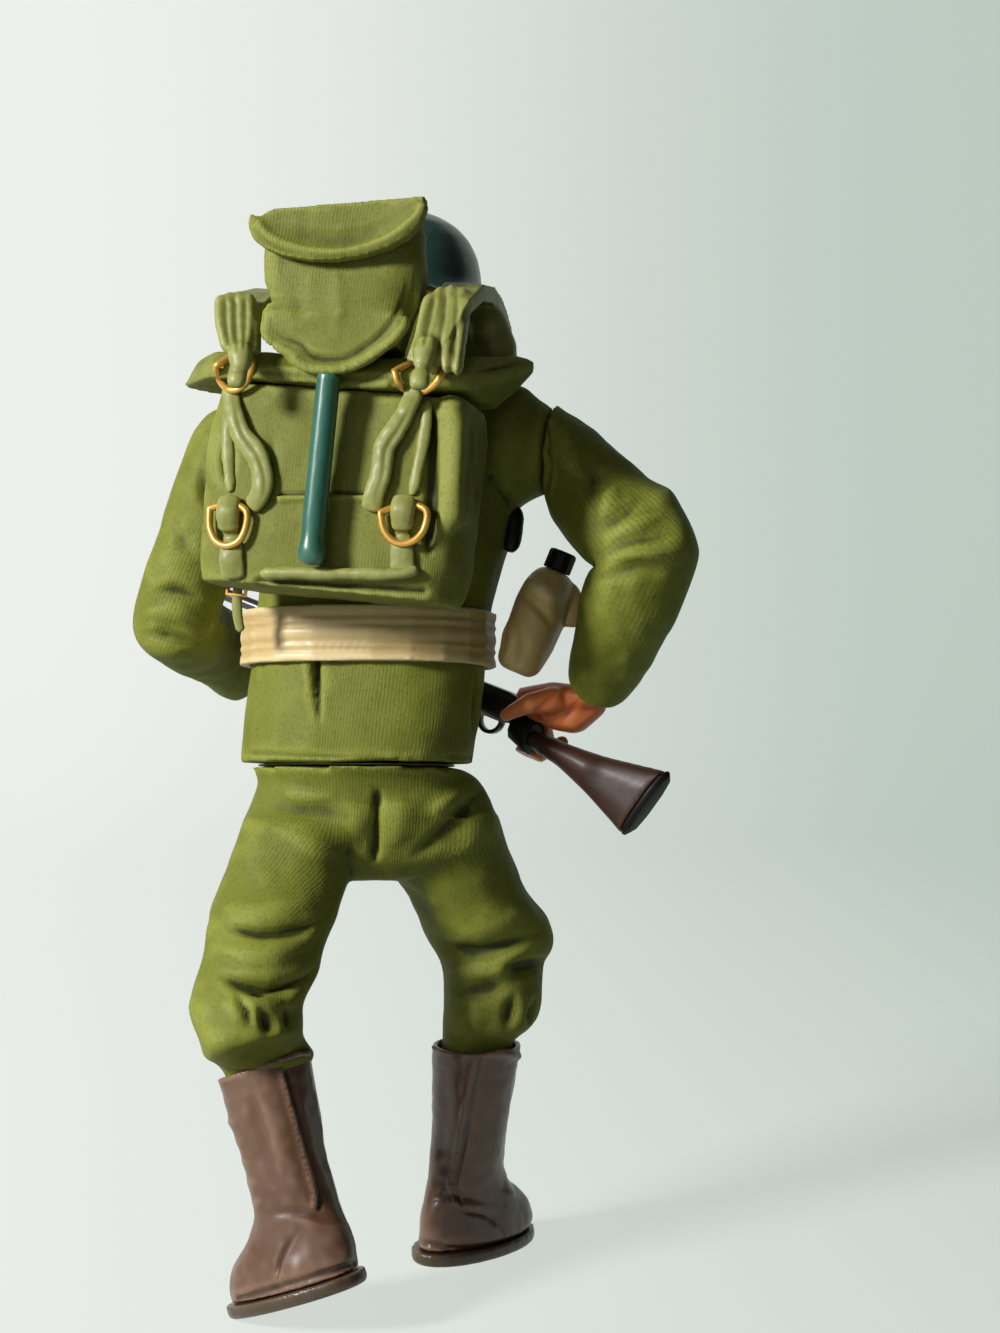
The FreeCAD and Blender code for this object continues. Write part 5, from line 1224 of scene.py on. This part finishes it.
# The sheet's glow is painted brighter to the left, the side of the window lamp: painted light fall-off.
to_the_left = SHEET.parts(SHEET.place())[0]
pale = SHEET.mix(SHEET.step(to_the_left, -0.17, 0.15), paint(196, 210, 200), paint(248, 250, 246))
paths = SHEET.node("LightPath", {}, "Is Camera Ray")
mirrored = Value(SHEET, paths.socket.node.outputs["Is Glossy Ray"])
shown = SHEET.node("Math", {0: paths, 1: mirrored}, operation="MAXIMUM")
SHEET.set(
    Base_Color=paint(118, 124, 118),
    Emission_Color=SHEET.mix(shown, paint(0, 0, 0), pale),
    Emission_Strength=0.8,
)
sweep(SHEET)

world = bpy.data.worlds.new("studio")
scene.world = world
world.use_nodes = True
tree = world.node_tree
tree.nodes.clear()
out = tree.nodes.new("ShaderNodeOutputWorld")
blend = tree.nodes.new("ShaderNodeMixShader")
seen = tree.nodes.new("ShaderNodeBackground")
glow = tree.nodes.new("ShaderNodeBackground")
rays = tree.nodes.new("ShaderNodeLightPath")
seen.inputs["Color"].default_value = paint(228, 234, 229)
seen.inputs["Strength"].default_value = 1.0
glow.inputs["Color"].default_value = paint(236, 240, 240)
glow.inputs["Strength"].default_value = 0.05
tree.links.new(rays.outputs["Is Camera Ray"], blend.inputs[0])
tree.links.new(glow.outputs[0], blend.inputs[1])
tree.links.new(seen.outputs[0], blend.inputs[2])
tree.links.new(blend.outputs[0], out.inputs["Surface"])


def lamp(name, place, size, watts):
    """A round lamp in metres and watts that points at the figure."""
    light = bpy.data.lights.new(name, "AREA")
    light.shape = "DISK"
    light.size = size
    light.energy = watts
    body = bpy.data.objects.new(name, light)
    body.location = place
    body.rotation_euler = (FIGURE_MIDDLE - body.location).to_track_quat("-Z", "Y").to_euler()
    scene.collection.objects.link(body)


lamp("window", (0.45, 0.32, 0.31), 0.13, 4.6)
lamp("bounce", (0.2, 0.6, 0.2), 0.5, 0.34)
lamp("far_bounce", (0.2, -0.6, 0.35), 0.5, 0.8)

camera_data = bpy.data.cameras.new("camera")
camera_data.sensor_fit = "VERTICAL"
camera_data.sensor_height = FILM
camera_data.lens = FOCUS / PICTURE_HEIGHT * FILM
camera_data.clip_start = 0.01
camera = bpy.data.objects.new("camera", camera_data)
camera.location = CAMERA_SPOT * MM
camera.rotation_euler = (math.pi / 2 - CAMERA_DOWN, 0, math.pi)
scene.collection.objects.link(camera)
scene.camera = camera
scene.view_settings.view_transform = "Standard"

bpy.context.view_layer.update()
